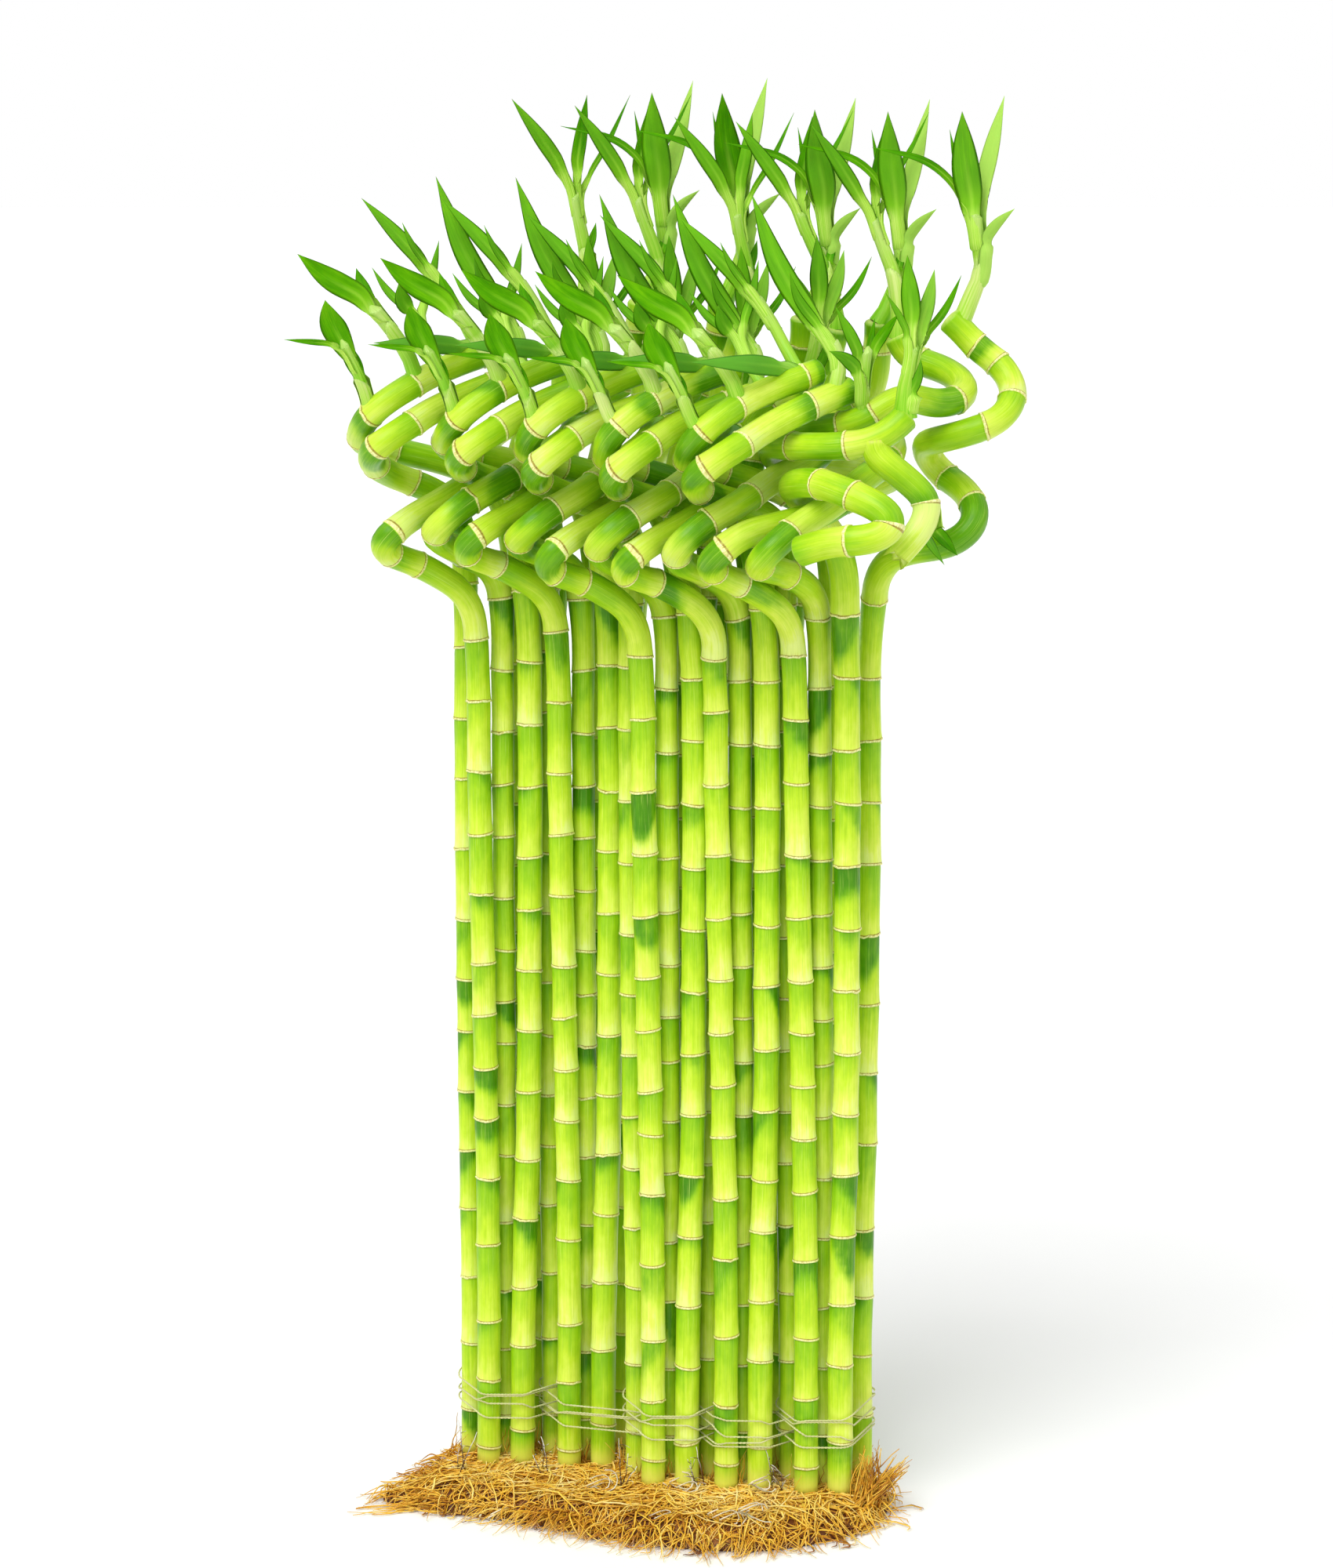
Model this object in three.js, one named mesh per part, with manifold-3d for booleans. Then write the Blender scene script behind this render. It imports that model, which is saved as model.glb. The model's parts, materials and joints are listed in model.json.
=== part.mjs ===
// A tied bunch of curly lucky bamboo: five groups of six cane stalks stand side by side on one
// matted foot of roots. Each stalk is straight below and coiled above, and leafy shoots grow
// from the coils. A thin string is wound round the foot of each group.
// Millimetres, +Z up, the front of the bunch faces -Y.
import * as THREE from "three";
import Module from "manifold-3d";

// The view grid: where a point is seen from the front, 1700 steps across and 2000 steps down.
const GRID_STEP = 0.43;
const GRID_ACROSS = 850;
const GRID_DOWN = 1000;
const VIEW_DISTANCE = 2064;
const VIEW_TILT = THREE.MathUtils.degToRad(9.4);
const EYE_HEIGHT = 753;

// Driving dimensions
const SHELF_HEIGHT = 11.5;
const SEAT_GAP = 0.3;
const STALK_SIDES = 5;
const SAMPLE_STEP = 5;
const RING_BULGE = 0.45;
const WAIST = 0.35;
const BEND_A_SECTION = THREE.MathUtils.degToRad(33);
const STEM_SIDES = 3;
const FREE_FROM_HEIGHT = 488;
const FREE_AT_HEIGHT = 535;
const CROWN_AT_HEIGHT = 575;
const LEAF_THICKNESS = 1.1;
const SHORTEST_EDGE = 0.03;
const BLADE_ROOT = 0.7;
const BLADE_STATIONS = [0, 0.3, 0.65];
const BLADE_TURN = 0.28;
const BLADE_TURN_RATE = 7;
const BLADE_TILT = 0.25;
const LEAF_TIP_SHARE = 0.04;
const LEAF_STEM_SHARE = 0.22;
const LEAF_SWELL = 0.9;
const LEAF_SWELL_POWER = 0.9;
const LEAF_PEAK_POWER = 0.72;
const STRING_SIDES = 3;
const STRING_RADIUS = 0.5;
const STRING_CLEARANCE = 0.35;
const STRING_TURNS = 4;
const STRING_BEND = THREE.MathUtils.degToRad(66);
const STRING_TOP = 61;
const STRING_DROP = 20;
const STRING_SHIFT = 4.5;
const MAT_EDGE_HEIGHT = 4;
const MAT_SEED = 11;
const MAT_RIPPLE_LEAST = 0.97;
const MAT_RIPPLE = 0.05;
const ROOT_SEED = 29;
const ROOT_THICK = 1.7;
const ROOT_THIN = 0.8;
const ROOT_LIFT = 0.2;
const ROOT_PARTS = 3;
const ROOT_SIDES = 3;
const ROOT_SUNK = 2;
const SPREADING_ROOTS = 30;
const RISING_ROOTS = 12;

// The outline of the root mat on the ground, from its left end round the front to the back
const MAT_OUTLINE = [
  [-164, 14], [-148, 2], [-118, -10], [-67, -30], [-10, -58], [48, -68], [94, -50], [122, -18],
  [128, 16], [110, 46], [66, 68], [0, 84], [-70, 98], [-112, 94], [-134, 62], [-150, 32],
];
const MAT_CENTRE = [-14, 20];
const MAT_FOOT_SHARE = [0.95, 0.92];
const MAT_EDGE_SHARE = [0.98, 0.96];
const MAT_SHELF_SHARE = [0.93, 0.84];
const MAT_POINTS = 30;

// Roots that spread over the edge. start and edge are shares of the outline, heights count from
// the shelf at the edge and from the ground at the tip, and more is the most a draw can add.
const SPREAD = {
  uneven: 0.6,
  drift: 0.03,
  start: [0.9, 0.84],
  edge: [0.96, 0.93],
  edgeHeight: -1,
  edgeHeightMore: 3,
  reach: 1,
  reachMore: 0.07,
  tipHeight: 1.2,
  tipHeightMore: 2.5,
};

// Roots that rise round the back, from one share of the outline's length over a stretch of it
const RISE = {
  first: 0.94,
  stretch: 0.72,
  leftOutFrom: 0.02,
  leftOutTo: 0.4,
  drift: 0.01,
  tipDrift: 0.03,
  start: [0.93, 0.88],
  edge: [0.95, 0.92],
  edgeHeight: 6,
  edgeHeightMore: 6,
  tip: [1, 0.97],
  tipHeight: 18,
  tipHeightMore: 16,
};

// How the coils settle clear of each other
const SETTLE_ROUNDS = 800;
const SETTLE_GAP = 2.6;
const SETTLE_PUSH = 0.35;
const SETTLE_SMOOTHING = 0.3;
const SETTLE_NUDGE = 0.01;
const HOLD_LEAST = 0.9;
const HOLD_MORE = 0.1;
const HELD_BY_PARENT = 0.5;
const LEAF_CLEARANCE = 0.9;
const LEAF_CLEARANCE_GROWTH = 0.3;
const SELF_CLEARANCE_STEPS = 14;
const SIDEWAYS_SHARE = 0.55;
const PAIR_ROUNDS = 15;
const PAIR_CELL = 22;
const CELL_KEYS = [1000003, 1009];
const NEARLY_NOTHING = 0.001;
const LEAST_SIDE = 0.1;
const LENGTH_DIVISIONS = 40;

// Groups from left to right: across and down on the grid, then depth at the foot and in the coils
const GROUPS = [
  { name: "g1", across: -404.5, down: -23, foot: 44, crown: 53 },
  { name: "g2", across: -302, down: -23, foot: 38, crown: 36 },
  { name: "g3", across: -195, down: 0, foot: 6, crown: 14 },
  { name: "g4", across: -102, down: 0, foot: 0, crown: -3 },
  { name: "g5", across: 0, down: 0, foot: -6, crown: -20, last: true },
];

// The six stalks of a group. foot: across, down, depth of the straight part, from the ground up.
// rings: how far down each leaf scar of the straight part is seen.
// curl: across, down, depth, and 1 where a leaf scar is seen; curlOfLast is for the last group.
// shoots: where on the curl each one grows, its stem, and its leaves as
// across, down, depth of three points from root to tip, then the width.
const FAN = {
  name: "fan",
  at: [1158, 542],
  stem: [[1158, 530, -50], [1158, 502, -52], [1166, 462, -54], [1168, 436, -54]],
  radii: [5.8, 2.6],
  leaves: [
    [[1168, 440, -54], [1162, 384, -58], [1158, 329, -60], 10.5],
    [[1170, 446, -54], [1184, 396, -52], [1193, 348, -48], 8.5],
    [[1172, 452, -54], [1204, 404, -46], [1227, 354, -38], 4.5],
    [[1166, 446, -54], [1150, 410, -62], [1131, 379, -68], 4],
  ],
};

const FORK = {
  name: "fork",
  at: [1100, 531],
  stem: [[1096, 520, -28], [1097, 486, -34], [1101, 446, -38]],
  radii: [3.8, 2.6],
  leaves: [
    [[1099, 466, -38], [1080, 424, -42], [1061, 388, -46], 7],
    [[1100, 458, -38], [1122, 422, -34], [1142, 397, -30], 6.6],
    [[1099, 460, -38], [1106, 430, -31], [1111, 403, -28], 3.9],
    [[1097, 480, -36], [1076, 455, -47], [1053, 445, -54], 8],
  ],
};

const TALL_MIDDLE = {
  name: "tall_middle",
  at: [1146, 432],
  stem: [[1147, 424, 40], [1151, 384, 42], [1151, 346, 44], [1142, 302, 46], [1135, 260, 48]],
  radii: [5, 3],
  leaves: [
    [[1134, 266, 48], [1104, 212, 42], [1057, 149, 36], 9],
    [[1136, 264, 48], [1144, 206, 52], [1153, 144, 56], 8],
    [[1138, 268, 48], [1176, 212, 56], [1208, 144, 64], 3.5],
  ],
};

const TALL_RIGHT = {
  name: "tall_right",
  at: [1222, 417],
  stem: [[1228, 404, 16], [1240, 374, 15], [1251, 346, 14], [1248, 314, 12], [1242, 264, 10]],
  radii: [5.2, 3.4],
  leaves: [
    [[1241, 272, 10], [1231, 206, 4], [1227, 142, -2], 16.5],
    [[1244, 270, 12], [1262, 200, 20], [1281, 122, 28], 9.5],
    [[1238, 268, 8], [1186, 208, 14], [1112, 188, 18], 4.5],
    [[1252, 328, 12], [1266, 290, 4], [1294, 266, -4], 6.5],
  ],
};

const SHEATHED_BRANCH = {
  name: "sheathed_branch",
  at: [1115, 573],
  stem: [
    [1118, 586, -52], [1140, 604, -56], [1168, 626, -54], [1186, 646, -54],
    [1178, 674, -58], [1160, 696, -62], [1144, 712, -64],
  ],
  radii: [8, 7.2],
  leaves: [
    [[1178, 672, -56], [1204, 690, -50], [1222, 712, -46], 7],
    [[1176, 676, -54], [1190, 700, -42], [1205, 723, -36], 5],
  ],
};

const STALKS = [
  {
    name: "front_left",
    radius: 6.9,
    curlRadius: 7.5,
    foot: [
      [1028, 1895, 0], [1028, 1700, 0], [1027, 1560, 0], [1023, 1350, 0], [1017, 1089, 0],
      [1012, 834, 0],
    ],
    rings: [1866, 1786, 1707, 1608, 1525, 1451, 1388, 1319, 1250, 1168, 1089, 1005, 915, 834],
    curl: [
      [1008, 803, -1, 0], [992, 773, -6, 0], [968, 753, -14, 0], [944, 740, -22, 1],
      [920, 732, -32, 0], [903, 720, -46, 0], [917, 704, -54, 1], [948, 685, -42, 0],
      [985, 664, -30, 0], [1012, 648, -22, 1],
    ],
    curlOfLast: [
      [1008, 803, -1, 0], [992, 773, -6, 0], [968, 753, -14, 0], [944, 740, -22, 1],
      [920, 732, -32, 0], [903, 720, -46, 0], [917, 704, -54, 1], [948, 685, -42, 0],
      [1000, 656, -22, 0], [1060, 624, 2, 1], [1105, 606, 18, 0], [1128, 597, 38, 0],
      [1105, 588, 58, 1], [1055, 580, 60, 0], [1012, 580, 44, 0], [994, 584, 16, 0],
      [1004, 586, -12, 0], [1020, 584, -28, 1], [1050, 582, -42, 0], [1080, 580, -50, 1],
      [1115, 573, -54, 0], [1142, 558, -54, 0], [1158, 542, -52, 0],
    ],
    shoots: [],
    shootsOfLast: [FAN, SHEATHED_BRANCH],
  },
  {
    name: "middle",
    radius: 6.4,
    curlRadius: 7.7,
    foot: [
      [1048, 1895, 12.5], [1048, 1744, 12.5], [1049, 1500, 12], [1047, 1163, 10.5],
      [1045.5, 955, 9.5], [1043, 790, 9.5],
    ],
    rings: [1830, 1744, 1664, 1582, 1498, 1427, 1355, 1297, 1234, 1163, 1094, 1028, 955, 875, 790],
    curl: [
      [1036, 762, 8, 0], [1018, 746, 2, 0], [991, 738, -6, 1], [968, 726, -22, 0],
      [950, 707, -46, 0], [964, 692, -60, 0], [998, 667, -54, 1], [1030, 650, -49, 0],
      [1058, 634, -41, 1], [1098, 607, -23, 0], [1128, 582, 2, 0], [1138, 560, 26, 1],
      [1124, 532, 42, 0], [1124, 496, 46, 0], [1138, 462, 44, 1], [1146, 432, 40, 0],
    ],
    curlOfLast: [
      [1036, 762, 8, 0], [1018, 746, 2, 0], [991, 738, -6, 1], [968, 726, -22, 0],
      [950, 707, -46, 0], [964, 692, -60, 0], [998, 667, -52, 1], [1030, 648, -47, 0],
      [1058, 632, -40, 0], [1098, 606, -22, 0], [1136, 580, 0, 1], [1142, 562, 24, 0],
      [1120, 550, 48, 0], [1070, 548, 66, 1], [1030, 552, 52, 0], [1010, 558, 26, 0],
      [1018, 556, 2, 0], [1036, 549, -12, 0], [1066, 543, -22, 1], [1108, 528, -30, 1],
      [1138, 510, -28, 0], [1164, 507, -20, 0], [1188, 514, -12, 0], [1214, 512, -8, 1],
      [1229, 499, 4, 0], [1220, 482, 18, 0], [1200, 470, 28, 0], [1174, 461, 36, 1],
      [1152, 448, 40, 0], [1146, 432, 40, 0],
    ],
    shoots: [TALL_MIDDLE],
    shootsOfLast: [FORK, TALL_MIDDLE],
  },
  {
    name: "front_right",
    radius: 7.1,
    curlRadius: 8,
    foot: [
      [1071, 1895, 0], [1071, 1840, 0], [1073, 1660, 0], [1079, 1418, 0], [1080, 1185, 0],
      [1081, 1031, 0], [1078, 781, 0],
    ],
    rings: [1840, 1741, 1660, 1575, 1500, 1418, 1341, 1260, 1185, 1111, 1031, 952, 868, 781],
    curl: [
      [1076, 745, -3, 0], [1072, 705, 2, 1], [1070, 660, 13, 0], [1073, 615, 20, 1],
      [1086, 575, 18, 0], [1118, 550, 10, 1], [1158, 540, 2, 0],
    ],
    curlOfLast: [
      [1076, 745, 3, 0], [1070, 712, 6, 0], [1056, 680, 8, 1], [1034, 650, 6, 0],
      [1012, 626, -2, 0], [1002, 613, -19, 0], [1020, 612, -41, 0], [1042, 614, -54, 1],
      [1062, 621, -66, 0], [1085, 631, -74, 1], [1106, 640, -80, 0], [1128, 652, -84, 0],
      [1139, 668, -86, 1], [1126, 682, -88, 0], [1106, 688, -88, 0], [1087, 689, -86, 1],
      [1060, 691, -82, 0], [1035, 698, -76, 0], [1020, 703, -73, 0],
    ],
    shoots: [FAN],
    shootsOfLast: [],
  },
  {
    name: "right",
    plain: true,
    radius: 6.6,
    curlRadius: 7.6,
    foot: [
      [1098, 1895, 32], [1098, 1700, 32], [1105, 1367, 32], [1109, 1029, 32], [1109, 861, 32],
      [1114, 767, 32],
    ],
    rings: [1800, 1724, 1655, 1565, 1457, 1367, 1284, 1193, 1105, 1029, 948, 861, 767],
    curl: [
      [1114, 730, 34, 0], [1096, 690, 50, 1], [1060, 652, 62, 0], [1030, 622, 62, 1],
      [1024, 592, 74, 0], [1052, 568, 88, 0], [1104, 552, 92, 1], [1160, 534, 84, 0],
      [1204, 512, 62, 1], [1218, 476, 48, 0], [1220, 442, 40, 1], [1222, 412, 36, 0],
    ],
    curlOfLast: [
      [1119, 736, 26, 0], [1136, 712, 20, 0], [1166, 702, 10, 0], [1198, 697, 0, 0],
      [1224, 687, -6, 0], [1242, 666, -2, 0], [1238, 640, 8, 1], [1220, 619, 18, 0],
      [1202, 607, 26, 1], [1184, 588, 30, 0], [1176, 568, 18, 0], [1192, 560, -2, 0],
      [1220, 553, -10, 0], [1246, 545, -12, 1], [1275, 532, -10, 0], [1291, 507, -2, 1],
      [1288, 486, 6, 0], [1276, 467, 10, 1], [1245, 442, 14, 1], [1222, 417, 16, 0],
      [1212, 408, 16, 0],
    ],
    shoots: [TALL_RIGHT],
    shootsOfLast: [TALL_RIGHT],
  },
  {
    name: "back_left",
    plain: true,
    radius: 6.4,
    curlRadius: 7.5,
    foot: [
      [1007, 1895, 20.5], [1007, 1700, 20.5], [1003, 1418, 20.5], [999, 1106, 20.5], [998, 900, 20.5],
      [998, 762, 20.5],
    ],
    rings: [1820, 1734, 1646, 1561, 1488, 1418, 1342, 1272, 1193, 1106, 1020, 935, 850, 770],
    curl: [
      [997, 722, 21, 0], [990, 684, 15, 1], [970, 656, 6, 0], [938, 640, 0, 1],
      [905, 628, -8, 0], [882, 614, -28, 0], [879, 606, -46, 0], [889, 595, -59, 1],
      [938, 566, -51, 1], [985, 541, -39, 0], [1034, 521, -33, 1], [1066, 509, -28, 0],
      [1084, 503, -22, 0],
    ],
    shoots: [
      {
        name: "blade",
        at: [1066, 509],
        stem: [[1068, 498, -26], [1070, 462, -20], [1056, 434, -16]],
        radii: [4.2, 3.6],
        leaves: [
          [[1060, 442, -18], [998, 352, -12], [958, 249, -4], 13],
          [[1040, 416, -14], [1016, 384, -22], [1007, 352, -28], 6],
        ],
      },
    ],
  },
  {
    name: "back",
    plain: true,
    radius: 6.4,
    curlRadius: 7.3,
    foot: [
      [1058, 1895, 28], [1059, 1500, 28], [1061, 1100, 28], [1062, 900, 28], [1062, 782, 28],
    ],
    rings: [1815, 1722, 1634, 1550, 1466, 1384, 1300, 1212, 1130, 1046, 960, 872, 786],
    curl: [
      [1061, 740, 28, 0], [1055, 692, 26, 1], [1040, 652, 22, 0], [1008, 626, 15, 1],
      [960, 611, 11, 0], [912, 602, 6, 1], [880, 596, -6, 0], [868, 585, -28, 0],
      [886, 558, -52, 1], [937, 523, -46, 1], [985, 500, -34, 0], [1030, 484, -26, 1],
      [1050, 478, -22, 0],
    ],
    shoots: [
      {
        name: "low_left",
        at: [884, 556],
        stem: [[879, 540, -46], [866, 506, -52], [848, 470, -56]],
        radii: [3.8, 2.6],
        leaves: [
          [[852, 474, -56], [832, 440, -59], [824, 413, -64], 15],
          [[846, 476, -56], [812, 467, -64], [771, 463, -72], 3.5],
        ],
      },
      {
        name: "wide_left",
        at: [943, 520],
        stem: [[943, 512, -40], [928, 478, -42], [900, 440, -44], [872, 408, -46]],
        radii: [4.6, 3.4],
        leaves: [
          [[876, 412, -46], [826, 384, -50], [788, 353, -54], 13.5],
          [[886, 424, -44], [872, 396, -38], [864, 372, -34], 8],
        ],
      },
      {
        name: "long_left",
        at: [1030, 484],
        stem: [[1028, 482, -22], [1008, 446, -14], [990, 412, -8], [966, 376, -4]],
        radii: [3.6, 2.8],
        leaves: [
          [[970, 382, -4], [918, 328, 0], [869, 278, 6], 9],
          [[966, 376, -4], [938, 342, -10], [924, 311, -12], 4],
          [[1022, 474, -26], [960, 466, -52], [886, 464, -60], 11],
        ],
      },
      {
        name: "tuft",
        at: [985, 500],
        stem: [[976, 494, -24], [956, 462, -8], [944, 432, 2]],
        radii: [3, 2.4],
        leaves: [
          [[944, 436, 2], [908, 404, 8], [885, 370, 14], 5],
          [[944, 436, 2], [926, 416, -4], [920, 392, -8], 10],
          [[946, 434, 2], [960, 386, 10], [970, 335, 16], 6],
        ],
      },
    ],
  },
];

const COLOURS = {
  stalk: 0x8fc32e,
  root: 0xc08a35,
  string: 0xdfe39a,
};

const wasm = await Module();
wasm.setup();
const { Manifold, Mesh } = wasm;

// The point at this depth that is seen at this place on the view grid.
function seen(across, down, depth) {
  const focal = VIEW_DISTANCE / GRID_STEP;
  const right = (across - GRID_ACROSS) / focal;
  const up = (GRID_DOWN - down) / focal;
  const forward = Math.cos(VIEW_TILT) + up * Math.sin(VIEW_TILT);
  const rise = up * Math.cos(VIEW_TILT) - Math.sin(VIEW_TILT);
  const reach = (depth + VIEW_DISTANCE * Math.cos(VIEW_TILT)) / forward;
  return new THREE.Vector3(right * reach, depth, EYE_HEIGHT + rise * reach);
}

function smoothstep(from, to, value) {
  const t = Math.min(1, Math.max(0, (value - from) / (to - from)));
  return t * t * (3 - 2 * t);
}

// The same draw every time: a small seeded generator.
function seeded(seed) {
  let state = seed >>> 0;
  return () => {
    state = (Math.imul(state, 1664525) + 1013904223) >>> 0;
    return state / 4294967296;
  };
}

function placeInGroup(group, [across, down, depth]) {
  const low = seen(across + group.across, down + group.down, depth + group.foot);
  const share = smoothstep(FREE_FROM_HEIGHT, CROWN_AT_HEIGHT, low.z);
  const shift = group.foot + (group.crown - group.foot) * share;
  return seen(across + group.across, down + group.down, depth + shift);
}

// Even points along a smooth line through the knots.
function sampleLine(knots, step) {
  const curve = new THREE.CatmullRomCurve3(knots, false, "centripetal");
  curve.arcLengthDivisions = knots.length * LENGTH_DIVISIONS;
  const count = Math.max(3, Math.round(curve.getLength() / step));
  return curve.getSpacedPoints(count);
}

function nearestIndex(points, target) {
  let best = 0;
  points.forEach((p, i) => {
    if (p.distanceTo(target) < points[best].distanceTo(target)) best = i;
  });
  return best;
}

// A limb is one line that may move in depth while the coils settle.
function makeLimb(stalkId, points, halfWidth, round, looseness, parent, parentIndex) {
  return {
    stalkId,
    points,
    halfWidth,
    round,
    looseness,
    parent,
    parentIndex,
    moved: new Float64Array(points.length * 3),
  };
}

function stalkLimb(group, stalk, id) {
  const curl = group.last && stalk.curlOfLast ? stalk.curlOfLast : stalk.curl;
  const knots = [...stalk.foot, ...curl].map((k) => placeInGroup(group, k));
  knots[0].z = SHELF_HEIGHT + SEAT_GAP;
  const points = sampleLine(knots, SAMPLE_STEP);
  const radius = points.map((p) => {
    const share = smoothstep(FREE_FROM_HEIGHT, FREE_AT_HEIGHT, p.z);
    return stalk.radius + (stalk.curlRadius - stalk.radius) * share;
  });
  const loose = points.map((p) => smoothstep(FREE_FROM_HEIGHT, FREE_AT_HEIGHT, p.z));
  const limb = makeLimb(id, points, points.map(() => 0), radius, loose, null, 0);
  const ringKnots = stalk.foot.length;
  const rings = stalk.rings.map((down) => {
    const on = stalk.foot.map((k) => k[0]);
    const depth = stalk.foot[Math.floor(ringKnots / 2)][2];
    return nearestIndex(points, placeInGroup(group, [on[0], down, depth]));
  });
  curl.forEach((k, i) => {
    if (k[3]) rings.push(nearestIndex(points, knots[ringKnots + i]));
  });
  limb.rings = [...new Set(rings)].sort((a, b) => a - b);
  limb.curlFrom = nearestIndex(points, knots[ringKnots - 1]);
  limb.plain = stalk.plain && !group.last;
  return limb;
}

function leafWidthShare(t) {
  const swell = Math.pow(Math.sin(Math.PI * Math.pow(t, LEAF_PEAK_POWER)), LEAF_SWELL_POWER);
  return Math.max(LEAF_TIP_SHARE, LEAF_STEM_SHARE * (1 - t) + LEAF_SWELL * swell);
}

function shootLimbs(group, stalk, stalkPart, id) {
  const curl = group.last && stalk.curlOfLast ? stalk.curlOfLast : stalk.curl;
  const shoots = group.last && stalk.shootsOfLast ? stalk.shootsOfLast : stalk.shoots;
  return shoots.map((shoot) => {
    const away = (k) => Math.hypot(k[0] - shoot.at[0], k[1] - shoot.at[1]);
    const onCurl = curl.reduce((a, b) => (away(b) <= away(a) ? b : a));
    const target = placeInGroup(group, [shoot.at[0], shoot.at[1], onCurl[2]]);
    const parentIndex = nearestIndex(stalkPart.points, target);
    const root = stalkPart.points[parentIndex].clone();
    const lean = onCurl[2] - shoot.stem[0][2];
    const inShoot = (k) => placeInGroup(group, [k[0], k[1], k[2] + lean]);
    const stemKnots = shoot.stem.map(inShoot);
    const stemPoints = sampleLine([root, ...stemKnots], SAMPLE_STEP);
    const [thick, thin] = shoot.radii;
    const stemRadius = stemPoints.map((p, i) => {
      return thick + ((thin - thick) * i) / (stemPoints.length - 1);
    });
    const plain = stemPoints.map(() => 0);
    const free = stemPoints.map(() => 1);
    const stem = makeLimb(id, stemPoints, plain, stemRadius, free, stalkPart, parentIndex);
    stem.knots = shoot.stem.length + 1;
    const leaves = shoot.leaves.map(([root3, middle3, tip3, width]) => {
      const line = [root3, middle3, tip3].map(inShoot);
      const on = nearestIndex(stemPoints, line[0]);
      const points = sampleLine([stemPoints[on].clone(), line[1], line[2]], SAMPLE_STEP);
      const half = points.map((p, i) => (width / 2) * leafWidthShare(i / (points.length - 1)));
      const round = half.map((h) => LEAF_CLEARANCE + LEAF_CLEARANCE_GROWTH * h);
      const leaf = makeLimb(id, points, half, round, points.map(() => 1), stem, on);
      leaf.width = width;
      return leaf;
    });
    return { name: shoot.name, stem, leaves };
  });
}

// Limbs that come too close are pushed apart until they clear, in depth rather than sideways.
function settle(limbs) {
  const dots = [];
  limbs.forEach((limb, limbId) => {
    limb.points.forEach((p, i) => dots.push({ limb, limbId, i, p }));
  });
  const place = new Float64Array(dots.length * 3);
  const push = new Float64Array(dots.length * 3);
  const hits = new Float64Array(dots.length);
  let pairs = [];
  for (let round = 0; round < SETTLE_ROUNDS; round += 1) {
    dots.forEach((dot, n) => {
      place[n * 3] = dot.p.x + dot.limb.moved[dot.i * 3];
      place[n * 3 + 1] = dot.p.y + dot.limb.moved[dot.i * 3 + 1];
      place[n * 3 + 2] = dot.p.z + dot.limb.moved[dot.i * 3 + 2];
    });
    if (round % PAIR_ROUNDS === 0) pairs = closePairs(dots, place);
    push.fill(0);
    hits.fill(0);
    for (const [a, b] of pairs) {
      const la = dots[a].limb;
      const lb = dots[b].limb;
      const dx = place[a * 3] - place[b * 3];
      const dy = place[a * 3 + 1] - place[b * 3 + 1];
      const dz = place[a * 3 + 2] - place[b * 3 + 2];
      const side = Math.hypot(dx, dz);
      const flat = la.halfWidth[dots[a].i] + lb.halfWidth[dots[b].i];
      const apart = Math.max(0, side - flat);
      const distance = Math.hypot(apart, dy);
      const lack = la.round[dots[a].i] + lb.round[dots[b].i] + SETTLE_GAP - distance;
      if (lack <= 0) continue;
      const scale = side > NEARLY_NOTHING ? (SIDEWAYS_SHARE * apart) / side : 0;
      let nx = dx * scale;
      let ny = dy || (a < b ? SETTLE_NUDGE : -SETTLE_NUDGE);
      let nz = dz * scale;
      const size = Math.hypot(nx, ny, nz);
      const fa = la.looseness[dots[a].i];
      const fb = lb.looseness[dots[b].i];
      const amount = (lack * SETTLE_PUSH) / ((fa + fb) * size);
      nx *= amount;
      ny *= amount;
      nz *= amount;
      push[a * 3] += nx * fa;
      push[a * 3 + 1] += ny * fa;
      push[a * 3 + 2] += nz * fa;
      push[b * 3] -= nx * fb;
      push[b * 3 + 1] -= ny * fb;
      push[b * 3 + 2] -= nz * fb;
      hits[a] += 1;
      hits[b] += 1;
    }
    dots.forEach((dot, n) => {
      if (!hits[n]) return;
      const share = 2 / Math.sqrt(hits[n]);
      for (let k = 0; k < 3; k += 1) dot.limb.moved[dot.i * 3 + k] += push[n * 3 + k] * share;
    });
    limbs.forEach(smoothMoves);
  }
  limbs.forEach((limb) => {
    limb.points.forEach((p, i) => {
      p.x += limb.moved[i * 3];
      p.y += limb.moved[i * 3 + 1];
      p.z = Math.max(p.z + limb.moved[i * 3 + 2], SHELF_HEIGHT);
    });
  });
}

// A limb's moves are evened out along it, held at its root and stopped where it stands straight.
function smoothMoves(limb) {
  const { moved, looseness } = limb;
  const before = Float64Array.from(moved);
  const last = looseness.length - 1;
  for (let i = 0; i <= last; i += 1) {
    const back = Math.max(0, i - 1) * 3;
    const ahead = Math.min(last, i + 1) * 3;
    for (let k = 0; k < 3; k += 1) {
      const mean = (before[back + k] + before[ahead + k]) / 2;
      const eased = before[i * 3 + k] + SETTLE_SMOOTHING * (mean - before[i * 3 + k]);
      const hold = looseness[i] === 0 ? 0 : HOLD_LEAST + HOLD_MORE * looseness[i];
      moved[i * 3 + k] = eased * hold;
    }
  }
  if (!limb.parent) return;
  for (let k = 0; k < 3; k += 1) {
    const held = limb.parent.moved[limb.parentIndex * 3 + k];
    moved[k] = held;
    moved[3 + k] += (held - moved[3 + k]) * HELD_BY_PARENT;
  }
}

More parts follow.
